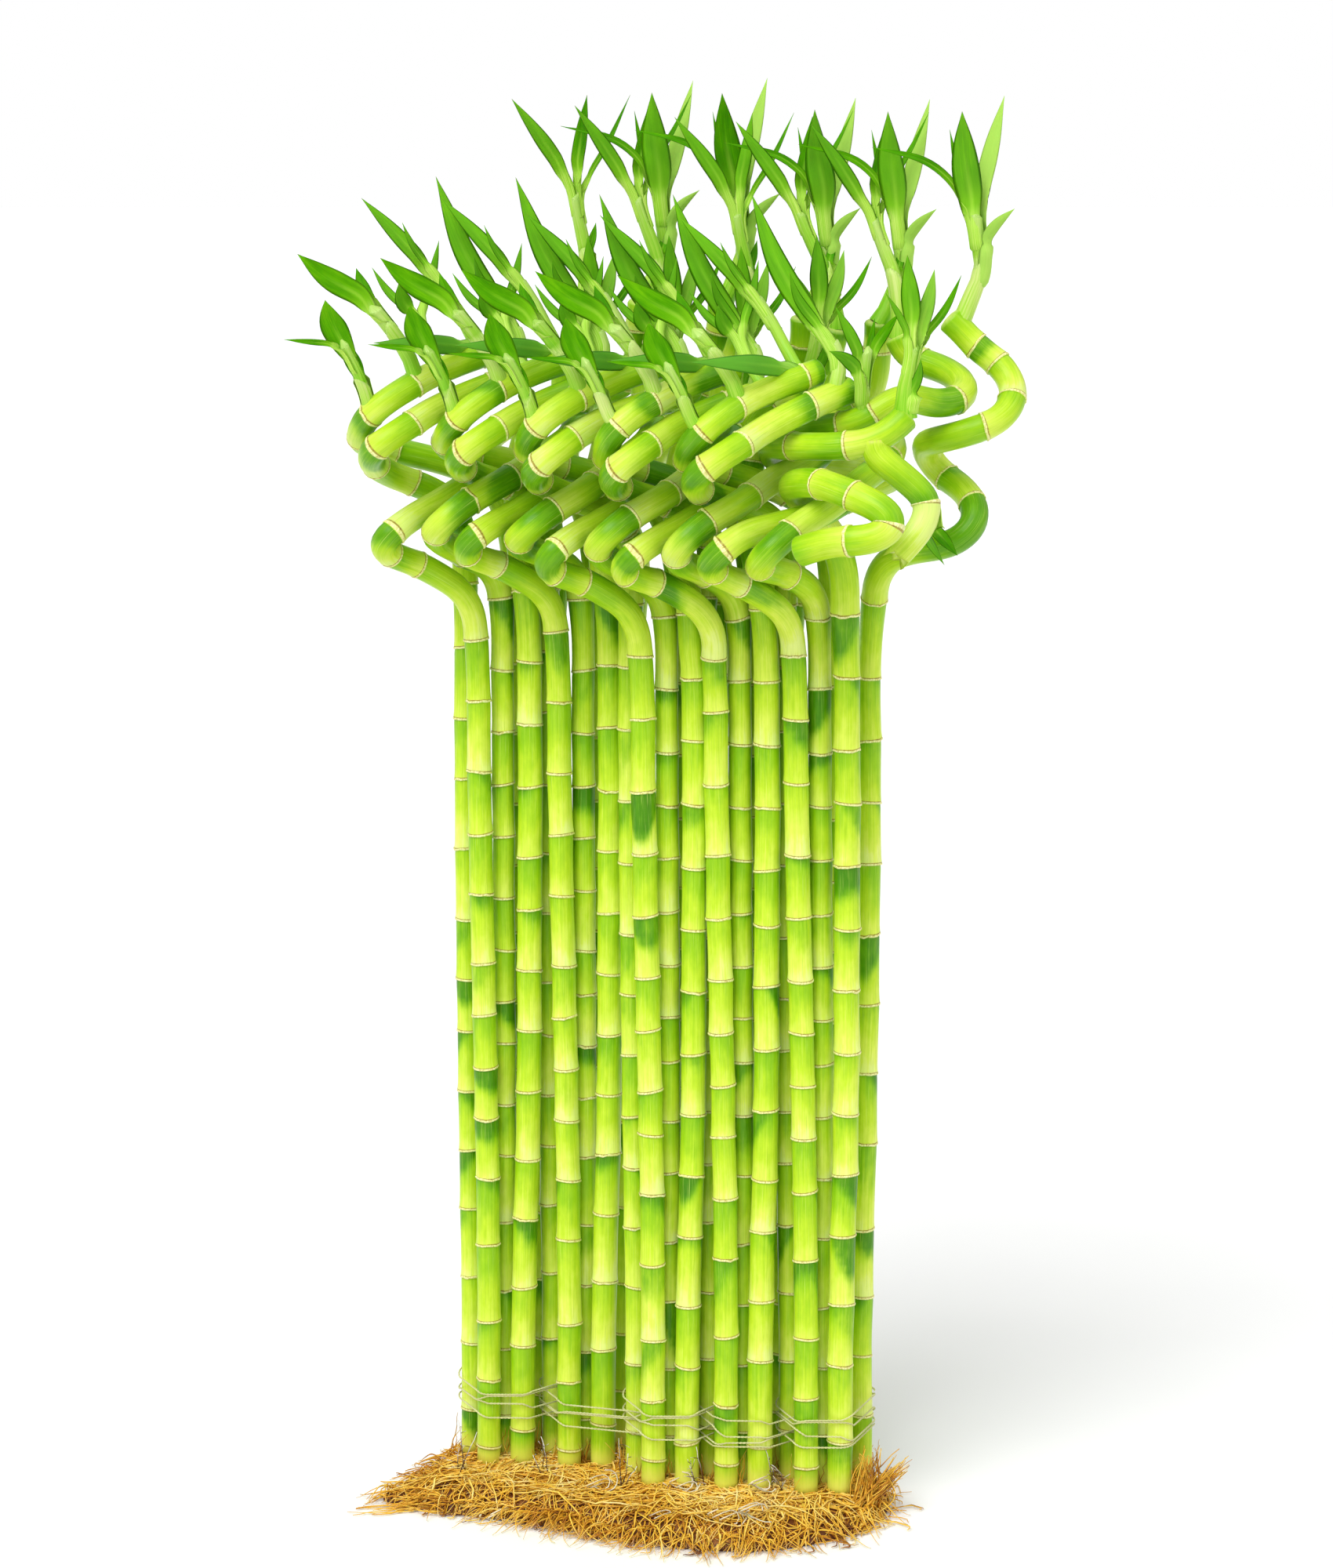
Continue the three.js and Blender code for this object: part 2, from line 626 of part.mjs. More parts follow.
// Pairs of dots on different stalks, or far apart on one, that are near enough to meet.
function closePairs(dots, place) {
  const cells = new Map();
  const cellOf = (n, k) => Math.floor(place[n * 3 + k] / PAIR_CELL);
  const keyOf = (x, y, z) => x * CELL_KEYS[0] + y * CELL_KEYS[1] + z;
  dots.forEach((dot, n) => {
    const key = keyOf(cellOf(n, 0), cellOf(n, 1), cellOf(n, 2));
    if (!cells.has(key)) cells.set(key, []);
    cells.get(key).push(n);
  });
  const pairs = [];
  dots.forEach((da, n) => {
    for (let x = -1; x <= 1; x += 1) {
      for (let y = -1; y <= 1; y += 1) {
        for (let z = -1; z <= 1; z += 1) {
          const key = keyOf(cellOf(n, 0) + x, cellOf(n, 1) + y, cellOf(n, 2) + z);
          for (const m of cells.get(key) || []) {
            if (m <= n) continue;
            const db = dots[m];
            if (da.limb.looseness[da.i] + db.limb.looseness[db.i] === 0) continue;
            if (da.limb.stalkId === db.limb.stalkId) {
              if (da.limbId !== db.limbId || da.limb.parent) continue;
              if (Math.abs(da.i - db.i) < SELF_CLEARANCE_STEPS) continue;
            }
            pairs.push([n, m]);
          }
        }
      }
    }
  });
  return pairs;
}

function closedSolid(positions, faces) {
  return new Manifold(
    new Mesh({
      numProp: 3,
      vertProperties: new Float32Array(positions),
      triVerts: new Uint32Array(faces),
    }),
  );
}

// A closed tube through the given centres, with one radius for each.
function tube(centres, radii, sides) {
  const positions = [];
  const faces = [];
  const last = centres.length - 1;
  let side = null;
  centres.forEach((c, i) => {
    const before = centres[Math.max(0, i - 1)];
    const after = centres[Math.min(last, i + 1)];
    const along = after.clone().sub(before).normalize();
    if (!side) {
      side = new THREE.Vector3(0, -1, NEARLY_NOTHING).cross(along);
      if (side.length() < LEAST_SIDE) side = new THREE.Vector3(1, 0, 0).cross(along);
    }
    side = side.sub(along.clone().multiplyScalar(side.dot(along))).normalize();
    const up = along.clone().cross(side);
    for (let k = 0; k < sides; k += 1) {
      const turn = (2 * Math.PI * k) / sides + Math.PI / 2;
      const p = c.clone();
      p.addScaledVector(side, radii[i] * Math.cos(turn));
      p.addScaledVector(up, radii[i] * Math.sin(turn));
      positions.push(p.x, p.y, p.z);
    }
  });
  for (let i = 0; i < last; i += 1) {
    for (let k = 0; k < sides; k += 1) {
      const a = i * sides + k;
      const b = i * sides + ((k + 1) % sides);
      faces.push(a, b, b + sides, a, b + sides, a + sides);
    }
  }
  for (let k = 1; k < sides - 1; k += 1) {
    faces.push(0, k + 1, k);
    const top = last * sides;
    faces.push(top, top + k, top + k + 1);
  }
  return closedSolid(positions, faces);
}

// A leaf blade: flat below, ridged above, pointed at the tip.
function blade(limb) {
  const { points, halfWidth } = limb;
  const last = points.length - 1;
  const positions = [];
  const faces = [];
  BLADE_STATIONS.forEach((t) => {
    const i = Math.min(last - 1, Math.round(t * last));
    const before = points[Math.max(0, i - 1)];
    const along = points[i + 1].clone().sub(before).normalize();
    const turn = BLADE_TURN * Math.sin(limb.width * BLADE_TURN_RATE);
    const face = new THREE.Vector3(turn, -1, BLADE_TILT);
    const wide = along.clone().cross(face).normalize();
    const out = wide.clone().cross(along).normalize();
    const half = t === 0 ? BLADE_ROOT : halfWidth[i];
    const left = points[i].clone().addScaledVector(wide, -half);
    const right = points[i].clone().addScaledVector(wide, half);
    const ridge = points[i].clone().addScaledVector(out, LEAF_THICKNESS);
    for (const p of [left, right, ridge]) positions.push(p.x, p.y, p.z);
  });
  const tip = points[last];
  positions.push(tip.x, tip.y, tip.z);
  for (let s = 0; s < BLADE_STATIONS.length - 1; s += 1) {
    for (let k = 0; k < 3; k += 1) {
      const a = s * 3 + k;
      const b = s * 3 + ((k + 1) % 3);
      faces.push(a, b, b + 3, a, b + 3, a + 3);
    }
  }
  const top = (BLADE_STATIONS.length - 1) * 3;
  faces.push(0, 2, 1);
  for (let k = 0; k < 3; k += 1) faces.push(top + k, top + ((k + 1) % 3), top + 3);
  const made = closedSolid(positions, faces);
  return made.volume() < 0 ? closedSolid(positions, reversed(faces)) : made;
}

function reversed(faces) {
  const out = [];
  for (let i = 0; i < faces.length; i += 3) out.push(faces[i], faces[i + 2], faces[i + 1]);
  return out;
}

// How far the line turns in all between two of its points.
function turnBetween(points, from, to) {
  let turn = 0;
  for (let i = Math.max(1, from); i < Math.min(to, points.length - 1); i += 1) {
    const before = points[i].clone().sub(points[i - 1]);
    const after = points[i + 1].clone().sub(points[i]);
    turn += before.angleTo(after);
  }
  return turn;
}

// The stalk's tube: a raised ring at each leaf scar and a slimmer waist between two scars.
function stalkSolid(limb) {
  const { points, round, rings, curlFrom } = limb;
  const last = points.length - 1;
  const marks = [{ i: 0, radius: round[0] }];
  const kept = rings.filter((r, n) => r >= curlFrom || !limb.plain || n % 2 === 1);
  const stops = [...kept.filter((r) => r > 1 && r < last - 1), last];
  let from = 0;
  stops.forEach((ring) => {
    const inCurl = from >= curlFrom;
    const bend = turnBetween(points, from, ring);
    const least = inCurl ? 1 : 2;
    const parts = Math.max(least, Math.round(bend / BEND_A_SECTION));
    for (let k = 1; k < parts; k += 1) {
      const i = Math.round(from + ((ring - from) * k) / parts);
      marks.push({ i, radius: round[i] - WAIST });
    }
    marks.push({ i: ring, radius: round[ring] + (ring === last ? 0 : RING_BULGE) });
    from = ring;
  });
  const clean = marks.filter((m, n) => n === 0 || m.i > marks[n - 1].i);
  return tube(clean.map((m) => points[m.i]), clean.map((m) => m.radius), STALK_SIDES);
}

function stemSolid(shoot) {
  const { points, round, knots } = shoot.stem;
  const last = points.length - 1;
  const count = Math.max(3, knots);
  const at = [...Array(count).keys()].map((k) => Math.round((last * k) / (count - 1)));
  return tube(at.map((i) => points[i]), at.map((i) => round[i]), STEM_SIDES);
}

function matPoint(turn, shareX, shareY, height) {
  const knots = MAT_OUTLINE.map(([x, y]) => new THREE.Vector3(x, y, 0));
  const p = new THREE.CatmullRomCurve3(knots, true).getPoint(turn);
  const [cx, cy] = MAT_CENTRE;
  return new THREE.Vector3(cx + (p.x - cx) * shareX, cy + (p.y - cy) * shareY, height);
}

// The felted middle of the mat: flat below, with a low shelf on which the stalks stand.
function matCore() {
  const loops = [
    [...MAT_FOOT_SHARE, 0],
    [...MAT_EDGE_SHARE, MAT_EDGE_HEIGHT],
    [...MAT_SHELF_SHARE, SHELF_HEIGHT],
  ];
  const draw = seeded(MAT_SEED);
  const ripple = [...Array(MAT_POINTS)].map(() => MAT_RIPPLE_LEAST + MAT_RIPPLE * draw());
  const positions = [];
  const faces = [];
  loops.forEach(([shareX, shareY, height], row) => {
    for (let i = 0; i < MAT_POINTS; i += 1) {
      const wave = row < 2 ? ripple[i] : 1;
      const p = matPoint(i / MAT_POINTS, shareX * wave, shareY * wave, height);
      positions.push(p.x, p.y, p.z);
    }
  });
  positions.push(...MAT_CENTRE, 0, ...MAT_CENTRE, SHELF_HEIGHT);
  const low = loops.length * MAT_POINTS;
  for (let i = 0; i < MAT_POINTS; i += 1) {
    const next = (i + 1) % MAT_POINTS;
    for (let row = 0; row < 2; row += 1) {
      const a = row * MAT_POINTS;
      faces.push(a + i, a + next, a + next + MAT_POINTS);
      faces.push(a + i, a + next + MAT_POINTS, a + i + MAT_POINTS);
    }
    faces.push(low, next, i);
    faces.push(low + 1, 2 * MAT_POINTS + i, 2 * MAT_POINTS + next);
  }
  return closedSolid(positions, faces);
}

function rootStrand(knots, thick, thin) {
  const points = knots.map((k) => new THREE.Vector3(k.x, k.y, Math.max(k.z, thick + ROOT_LIFT)));
  const line = new THREE.CatmullRomCurve3(points).getSpacedPoints(ROOT_PARTS);
  const last = line.length - 1;
  const radii = line.map((p, i) => thick + ((thin - thick) * i) / last);
  return tube(line, radii, ROOT_SIDES);
}

// Roots that spread over the shelf's edge to the ground, and some that rise behind the stalks.
function rootMat() {
  const draw = seeded(ROOT_SEED);
  const pieces = [matCore()];
  const sunk = SHELF_HEIGHT - ROOT_SUNK;
  for (let n = 0; n < SPREADING_ROOTS; n += 1) {
    const turn = (n + SPREAD.uneven * draw()) / SPREADING_ROOTS;
    const drift = (draw() - 0.5) * SPREAD.drift;
    const reach = SPREAD.reach + SPREAD.reachMore * draw();
    const edgeHeight = SHELF_HEIGHT + SPREAD.edgeHeight + SPREAD.edgeHeightMore * draw();
    const tipHeight = SPREAD.tipHeight + SPREAD.tipHeightMore * draw();
    const from = matPoint(turn, ...SPREAD.start, sunk);
    const over = matPoint(turn + drift / 2, ...SPREAD.edge, edgeHeight);
    const tip = matPoint(turn + drift, reach, reach, tipHeight);
    pieces.push(rootStrand([from, over, tip], ROOT_THICK, ROOT_THIN));
  }
  for (let n = 0; n < RISING_ROOTS; n += 1) {
    const turn = (RISE.first + (RISE.stretch * (n + draw())) / RISING_ROOTS) % 1;
    const drift = RISE.drift * draw();
    const edgeHeight = SHELF_HEIGHT + RISE.edgeHeight + RISE.edgeHeightMore * draw();
    const tipDrift = RISE.tipDrift * (draw() - 0.5);
    const tipHeight = RISE.tipHeight + RISE.tipHeightMore * draw();
    if (turn >= RISE.leftOutFrom && turn <= RISE.leftOutTo) continue;
    const from = matPoint(turn, ...RISE.start, sunk);
    const up = matPoint(turn + drift, ...RISE.edge, edgeHeight);
    const tip = matPoint(turn + tipDrift, ...RISE.tip, tipHeight);
    pieces.push(rootStrand([from, up, tip], ROOT_THICK, ROOT_THIN));
  }
  return Manifold.union(pieces);
}

// The closed line that a taut string takes round a group of stalks, as corner points of one turn.
function stringTurn(circles) {
  const step = THREE.MathUtils.degToRad(1);
  const widest = (angle) => {
    const reach = circles.map((c) => c.x * Math.cos(angle) + c.y * Math.sin(angle) + c.radius);
    return reach.indexOf(Math.max(...reach));
  };
  const runs = [];
  for (let angle = 0; angle < 2 * Math.PI; angle += step) {
    const circle = widest(angle);
    const open = runs[runs.length - 1];
    if (open && open.circle === circle) open.to = angle;
    else runs.push({ circle, from: angle, to: angle });
  }
  if (runs[0].circle === runs[runs.length - 1].circle) {
    runs[0].from = runs.pop().from - 2 * Math.PI;
  }
  return runs.flatMap(({ circle, from, to }) => {
    const { x, y, radius } = circles[circle];
    const parts = Math.max(1, Math.ceil((to - from) / STRING_BEND));
    const half = (to - from) / parts / 2;
    return [...Array(parts).keys()].map((k) => {
      const angle = from + ((k + 0.5) * (to - from)) / parts;
      const reach = radius / Math.cos(half);
      return [x + reach * Math.cos(angle), y + reach * Math.sin(angle)];
    });
  });
}

function stringSolid(stalks, top) {
  const circles = stalks.map((stalk) => {
    const on = stalk.points.find((p) => p.z > top - STRING_DROP / 2);
    const radius = stalk.round[0] + RING_BULGE + STRING_CLEARANCE + STRING_RADIUS;
    return { x: on.x, y: on.y, radius };
  });
  const turn = stringTurn(circles);
  const points = [];
  const count = turn.length * STRING_TURNS;
  for (let i = 0; i <= count; i += 1) {
    const [x, y] = turn[i % turn.length];
    points.push(new THREE.Vector3(x, y, top - (STRING_DROP * i) / count));
  }
  return tube(points, points.map(() => STRING_RADIUS), STRING_SIDES);
}

function meshOf(name, solid, colour, roughness) {
  const made = solid.simplify(SHORTEST_EDGE).getMesh();
  const geometry = new THREE.BufferGeometry();
  const stride = made.numProp;
  const flat = new Float32Array(made.numVert * 3);
  for (let i = 0; i < made.numVert; i += 1) {
    flat.set(made.vertProperties.subarray(i * stride, i * stride + 3), i * 3);
  }
  geometry.setAttribute("position", new THREE.BufferAttribute(flat, 3));
  geometry.setIndex(new THREE.BufferAttribute(made.triVerts, 1));
  geometry.computeVertexNormals();
  const finish = new THREE.MeshStandardMaterial({ color: colour, roughness, metalness: 0 });
  const mesh = new THREE.Mesh(geometry, finish);
  mesh.name = name;
  return mesh;
}

const group = new THREE.Group();
group.name = "lucky_bamboo";

const plants = [];
GROUPS.forEach((g) => {
  STALKS.forEach((s) => {
    const id = plants.length;
    const stalk = stalkLimb(g, s, id);
    plants.push({ group: g, spec: s, stalk, shoots: shootLimbs(g, s, stalk, id) });
  });
});

const limbs = plants.flatMap((p) => {
  return [p.stalk, ...p.shoots.flatMap((s) => [s.stem, ...s.leaves])];
});
settle(limbs);

plants.forEach((p) => {
  const pieces = [stalkSolid(p.stalk)];
  p.shoots.forEach((s) => {
    pieces.push(stemSolid(s));
    s.leaves.forEach((leaf) => pieces.push(blade(leaf)));
  });
  const whole = Manifold.union(pieces);
  group.add(meshOf("stalk_" + p.group.name + "_" + p.spec.name, whole, COLOURS.stalk, 0.35));
});

group.add(meshOf("root_mat", rootMat(), COLOURS.root, 0.85));

// Each string also takes in the back left stalk of the next group, so the groups hold together.
// On that stalk the turns of two strings lie by turns.
GROUPS.forEach((g, n) => {
  const caught = plants.filter((p) => {
    const neighbour = p.group === GROUPS[n + 1] && p.spec.name === "back_left";
    return p.group === g || neighbour;
  });
  const top = STRING_TOP - (n % 2) * STRING_SHIFT;
  const string = stringSolid(caught.map((p) => p.stalk), top);
  group.add(meshOf("tie_" + g.name, string, COLOURS.string, 0.7));
});

export default group;
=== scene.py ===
"""A tied bunch of curly lucky bamboo: the looks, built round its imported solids.

The stalks, shoots and leaves follow the same lines as the solids: the same points are placed on
the same view grid and settle clear of each other by the same rule. Each solid is then replaced by
a finer piece on that line. Lengths are in millimetres until a mesh is made, in metres.
"""

import itertools
import json
import math

import bpy
import numpy as np
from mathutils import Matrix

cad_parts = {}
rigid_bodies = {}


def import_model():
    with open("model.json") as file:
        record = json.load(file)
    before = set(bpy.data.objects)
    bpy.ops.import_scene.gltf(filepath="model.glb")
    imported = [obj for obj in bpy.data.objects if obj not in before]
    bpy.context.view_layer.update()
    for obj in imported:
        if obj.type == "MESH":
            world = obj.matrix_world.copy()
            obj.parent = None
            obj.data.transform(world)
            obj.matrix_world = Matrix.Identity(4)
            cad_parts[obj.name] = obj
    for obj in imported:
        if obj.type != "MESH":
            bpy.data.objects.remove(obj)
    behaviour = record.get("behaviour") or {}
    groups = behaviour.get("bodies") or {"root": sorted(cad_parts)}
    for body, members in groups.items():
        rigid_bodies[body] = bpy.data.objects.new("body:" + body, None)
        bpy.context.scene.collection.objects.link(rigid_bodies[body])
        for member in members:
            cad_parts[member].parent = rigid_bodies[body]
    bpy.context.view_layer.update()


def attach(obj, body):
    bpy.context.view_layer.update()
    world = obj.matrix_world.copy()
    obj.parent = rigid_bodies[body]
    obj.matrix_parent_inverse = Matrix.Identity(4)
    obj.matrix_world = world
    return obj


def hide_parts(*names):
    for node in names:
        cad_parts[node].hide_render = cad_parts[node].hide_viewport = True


MM = 0.001
FULL_TURN = 2 * math.pi

# The view grid: where a point is seen from the front, 1700 steps across and 2000 steps down
GRID_STEP = 0.43
GRID_ACROSS = 850
GRID_DOWN = 1000
VIEW_DISTANCE = 2064
VIEW_TILT = math.radians(9.4)
EYE_HEIGHT = 753

# Dimensions shared with the solids
SHELF_HEIGHT = 11.5
SEAT_GAP = 0.3
SAMPLE_STEP = 5
SPLINE_TABLE = 40
SAME_PLACE = 1e-4
FREE_FROM_HEIGHT = 488
FREE_AT_HEIGHT = 535
CROWN_AT_HEIGHT = 575
LEAF_SOLID = (0.9, 0.3)
RING_BULGE = 0.45
STRING_RADIUS = 0.5
STRING_CLEARANCE = 0.35
STRING_TURNS = 4
STRING_TOP = 61
STRING_DROP = 20
STRING_SHIFT = 4.5
MAT_EDGE_HEIGHT = 4

# How the coils settle clear of each other
SETTLE_ROUNDS = 800
SETTLE_GAP = 2.6
SETTLE_PUSH = 0.35
SETTLE_SMOOTHING = 0.3
SELF_CLEARANCE_STEPS = 14
SIDEWAYS_SHARE = 0.55
PAIR_ROUNDS = 15
PAIR_REACH = 38

# Canes: sides, spacing of their points, slight steps in their way, and how each ring is shaped
PLANT_SEED = 100
CANE_SIDES = 16
CANE_STEP = 5.0
CURL_STEP = 3.2
DENSE_PARTS = 10
ZIGZAG = 0.45
OVAL = 0.018
WAIST = 0.02
ABOVE_RING = (0.1, 0.95, 1.35, 1.85, 3.2, 5.2)
BELOW_RING = (4.2, 2.2, 0.9, 0.1)
LIP_TOP = 0.95
LIP_HEIGHT = 0.2
LINE_AT = 1.35
LINE_DEPTH = 0.06
NEAR_STATION = 0.05
SWELL_ABOVE = (0.36, 3.4)
SWELL_BELOW = (-0.2, 1.3)
END_MARGIN = 7
SHORTEST_INTERNODE = 12
SCAR_TILT = 0.09
SCAR_REACH = 9
TORN_SHARE = 0.35
TORN_TEETH = 0.34
WHOLE_TEETH = 0.06
TORN_END = (-1.5, 5.5)
TORN_HOLLOW = -2.0
PALE_TONE = -2.5
CANE_GRAIN = 6.5
GRAIN_SHIFT = 900
# Painted shade under each ring's lip: how far up its internode it reaches, and its strength and start in a
# coil's tight bend, whose underside is shaded
SHADE_REACH = 0.55
SHADE_IN_BEND = (0.85, 0.15)
# Rings of a domed end: share of the radius, how far up in mm, and how much it looks cut
END_CAP = ((0.96, 0.7, 0.2), (0.8, 1.6, 0.6), (0.4, 2.3, 1.0))

# Stems: how long their sheaths are, and along each sheath its rows and which of them are its rim
STEM_SIDES = 12
STEM_GRAIN = 4
SHORTEST_SHEATH = 14
LONGEST_SHEATH = 34
SHEATH_ROWS = ((0.04, 0), (0.2, 0), (0.45, 0), (0.7, 0), (0.9, 0), (0.985, 1), (1.0, 1))
SHEATH_SLANT = 1.5
SHEATH_FLARE = 0.3
STEM_FLARE = (0.15, 5)
STEM_SINK = 0.1
RIM_SHARE = 0.9
LAST_SLANT = 0.3
STEM_TIP = 3.0
STEM_TIP_SHARE = 0.25

# Leaves: rows and columns, and how a blade clasps its stem, opens, bends and ends
LEAF_ROWS = 22
LEAF_HALF_COLUMNS = 4
INNER_COLUMN = 0.12
LEAF_THICKNESS = 0.5
BLADE_WIDEST = 0.44
BLADE_TAPER = 1.8
BLADE_POINT = 1.12
WIDEST_BASE = 0.85
BASE_OF_STEM = 2.9
SHEATH_POINTS = 4
CLASP_ANGLE = 1.4
CLASPED_TO = 0.32
CLASP_SLIDE = 3.5
WIDEST_CLASP = 0.75
LAYER_FIRST = 0.2
LAYER_STEP = 0.3
LEAF_TWIST = 0.25
TIP_HALF_WIDTH = 0.08
RIPPLE = 0.05
RIB_DEPTH = 0.22
RIB_WIDTH = 0.1
LYING_LEAF_TONE = -2.0

# The loose roots: name, how many, points along each, thinnest and thickest, and share swept leftward
ROOT_LAYERS = (
    ("roots_long", 1750, 17, (0.42, 0.85), 0.62),
    ("roots_short", 1900, 13, (0.34, 0.7), 0.5),
)
LAYER_SEED = 80
SWEPT_WAY = math.radians(196)
ROOT_HEAP = 5.5
ROOT_CURL = 0.24
LOWEST_ROOT = 0.8

# The felt under them, and the hooked and rising roots round it
FELT_RINGS = 22
FELT_SECTORS = 120
# The felt's dark brown tone is painted shade, for the gaps between the loose strands above it
SHADED_FELT_TONE = -1.9
FELT_DROP = (0.8, 0.965)
LOWEST_FELT = 0.6
FRINGE_SEED = 73
FRINGE_ROOTS = 620
FRINGE_POINTS = 10
FRINGE_SPAN = (math.radians(150), math.radians(380))
LAST_FRINGE_WAY = math.radians(290)
HOOKED_RADII = (0.4, 0.7)
RISING_STRANDS = 520
RISING_RADII = (0.3, 0.55)

# Tufts, pale loops, and dead rootlets with their twigs
TUFT_SEED = 75
TUFT_POINTS = 9
TUFT_RADII = (0.4, 0.75)
LOOPS_TOGETHER = 4
ROOTLET_RADIUS = 0.42
ROOTLET_SHARES = (1.0, 0.7, 0.5)
TWIG_RADIUS = 0.26
TWIG_LENGTH = (2.0, 6.5)
TWIG_CHANCE = 0.75

# The twisted string, whose turns have a point every few degrees
STRING_SEED = 9
PLY_RADIUS = 0.36
PLY_OFFSET = 0.85
STRING_LAY = 4.2
STRING_TILT = 3.4
STRING_BEAT = 1.27
STRING_DEGREES = 4.0

# The studio's floor, in metres, its sun lamps with their bearing and height, and the world's light
FLOOR_SIZE = 120
FLOOR_HEIGHT = -0.0005
KEY_PLACE = (-32, 48)
FILL_PLACE = (60, 30)
KEY_LIGHT = 2.15
FILL_LIGHT = 0.4
SUN_WIDTH = 40
SIDE_LIGHT = 0.24
TOP_LIGHT = 0.85

# The camera: its sensor in mm, and how many steps of the view grid stand on it
SENSOR = 36
FRAME_HEIGHT = 2000

# The values that each kind of piece carries to its material
SKIN_VALUES = {
    # dark carries the painted shade under the canes' rings
    "cane": ("along", "lip", "line", "tone", "dark", "cut"),
    "branch": ("along", "lip", "line", "tone", "dark", "cut"),
    "stems": ("along", "rim", "tone", "rise"),
    "leaves": ("along", "across", "clasp", "side", "tone"),
}

# The outline of the root mat on the ground, from its left end round the front to the back
MAT_OUTLINE = [
    [-164, 14], [-148, 2], [-118, -10], [-67, -30], [-10, -58], [48, -68], [94, -50], [122, -18],
    [128, 16], [110, 46], [66, 68], [0, 84], [-70, 98], [-112, 94], [-134, 62], [-150, 32],
]
MAT_CENTRE = [-14, 20]

# Groups from left to right: across and down on the grid, then depth at the foot and in the coils
GROUPS = [
    {"name": "g1", "across": -404.5, "down": -23, "foot": 44, "crown": 53},
    {"name": "g2", "across": -302, "down": -23, "foot": 38, "crown": 36},
    {"name": "g3", "across": -195, "down": 0, "foot": 6, "crown": 14},
    {"name": "g4", "across": -102, "down": 0, "foot": 0, "crown": -3},
    {"name": "g5", "across": 0, "down": 0, "foot": -6, "crown": -20, "last": True},
]


def shoot(name, at, radii, stem, *leaves):
    """A shoot: where on the curl it grows, its stem's radii at foot and tip, the stem's points, and its
    leaves as across, down, depth of three points from root to tip, then the width."""
    return {"name": name, "at": at, "radii": radii, "stem": stem, "leaves": leaves}


FAN = shoot(
    "fan",
    [1158, 542],
    [5.8, 2.6],
    [[1158, 530, -50], [1158, 502, -52], [1166, 462, -54], [1168, 436, -54]],
    [[1168, 440, -54], [1162, 384, -58], [1158, 329, -60], 10.5],
    [[1170, 446, -54], [1184, 396, -52], [1193, 348, -48], 8.5],
    [[1172, 452, -54], [1204, 404, -46], [1227, 354, -38], 4.5],
    [[1166, 446, -54], [1150, 410, -62], [1131, 379, -68], 4],
)
FORK = shoot(
    "fork",
    [1100, 531],
    [3.8, 2.6],
    [[1096, 520, -28], [1097, 486, -34], [1101, 446, -38]],
    [[1099, 466, -38], [1080, 424, -42], [1061, 388, -46], 7],
    [[1100, 458, -38], [1122, 422, -34], [1142, 397, -30], 6.6],
    [[1099, 460, -38], [1106, 430, -31], [1111, 403, -28], 3.9],
    [[1097, 480, -36], [1076, 455, -47], [1053, 445, -54], 8],
)
TALL_MIDDLE = shoot(
    "tall_middle",
    [1146, 432],
    [5, 3],
    [[1147, 424, 40], [1151, 384, 42], [1151, 346, 44], [1142, 302, 46], [1135, 260, 48]],
    [[1134, 266, 48], [1104, 212, 42], [1057, 149, 36], 9],
    [[1136, 264, 48], [1144, 206, 52], [1153, 144, 56], 8],
    [[1138, 268, 48], [1176, 212, 56], [1208, 144, 64], 3.5],
)
TALL_RIGHT = shoot(
    "tall_right",
    [1222, 417],
    [5.2, 3.4],
    [[1228, 404, 16], [1240, 374, 15], [1251, 346, 14], [1248, 314, 12], [1242, 264, 10]],
    [[1241, 272, 10], [1231, 206, 4], [1227, 142, -2], 16.5],
    [[1244, 270, 12], [1262, 200, 20], [1281, 122, 28], 9.5],
    [[1238, 268, 8], [1186, 208, 14], [1112, 188, 18], 4.5],
    [[1252, 328, 12], [1266, 290, 4], [1294, 266, -4], 6.5],
)
SHEATHED_BRANCH = shoot(
    "sheathed_branch",
    [1115, 573],
    [8, 7.2],
    [
        [1118, 586, -52], [1140, 604, -56], [1168, 626, -54], [1186, 646, -54], [1178, 674, -58],
        [1160, 696, -62], [1144, 712, -64],
    ],
    [[1178, 672, -56], [1204, 690, -50], [1222, 712, -46], 7],
    [[1176, 676, -54], [1190, 700, -42], [1205, 723, -36], 5],
)
BLADE = shoot(
    "blade",
    [1066, 509],
    [4.2, 3.6],
    [[1068, 498, -26], [1070, 462, -20], [1056, 434, -16]],
    [[1060, 442, -18], [998, 352, -12], [958, 249, -4], 13],
    [[1040, 416, -14], [1016, 384, -22], [1007, 352, -28], 6],
)
LOW_LEFT = shoot(
    "low_left",
    [884, 556],
    [3.8, 2.6],
    [[879, 540, -46], [866, 506, -52], [848, 470, -56]],
    [[852, 474, -56], [832, 440, -59], [824, 413, -64], 15],
    [[846, 476, -56], [812, 467, -64], [771, 463, -72], 3.5],
)
WIDE_LEFT = shoot(
    "wide_left",
    [943, 520],
    [4.6, 3.4],
    [[943, 512, -40], [928, 478, -42], [900, 440, -44], [872, 408, -46]],
    [[876, 412, -46], [826, 384, -50], [788, 353, -54], 13.5],
    [[886, 424, -44], [872, 396, -38], [864, 372, -34], 8],
)
LONG_LEFT = shoot(
    "long_left",
    [1030, 484],
    [3.6, 2.8],
    [[1028, 482, -22], [1008, 446, -14], [990, 412, -8], [966, 376, -4]],
    [[970, 382, -4], [918, 328, 0], [869, 278, 6], 9],
    [[966, 376, -4], [938, 342, -10], [924, 311, -12], 4],
    [[1022, 474, -26], [960, 466, -52], [886, 464, -60], 11],
)
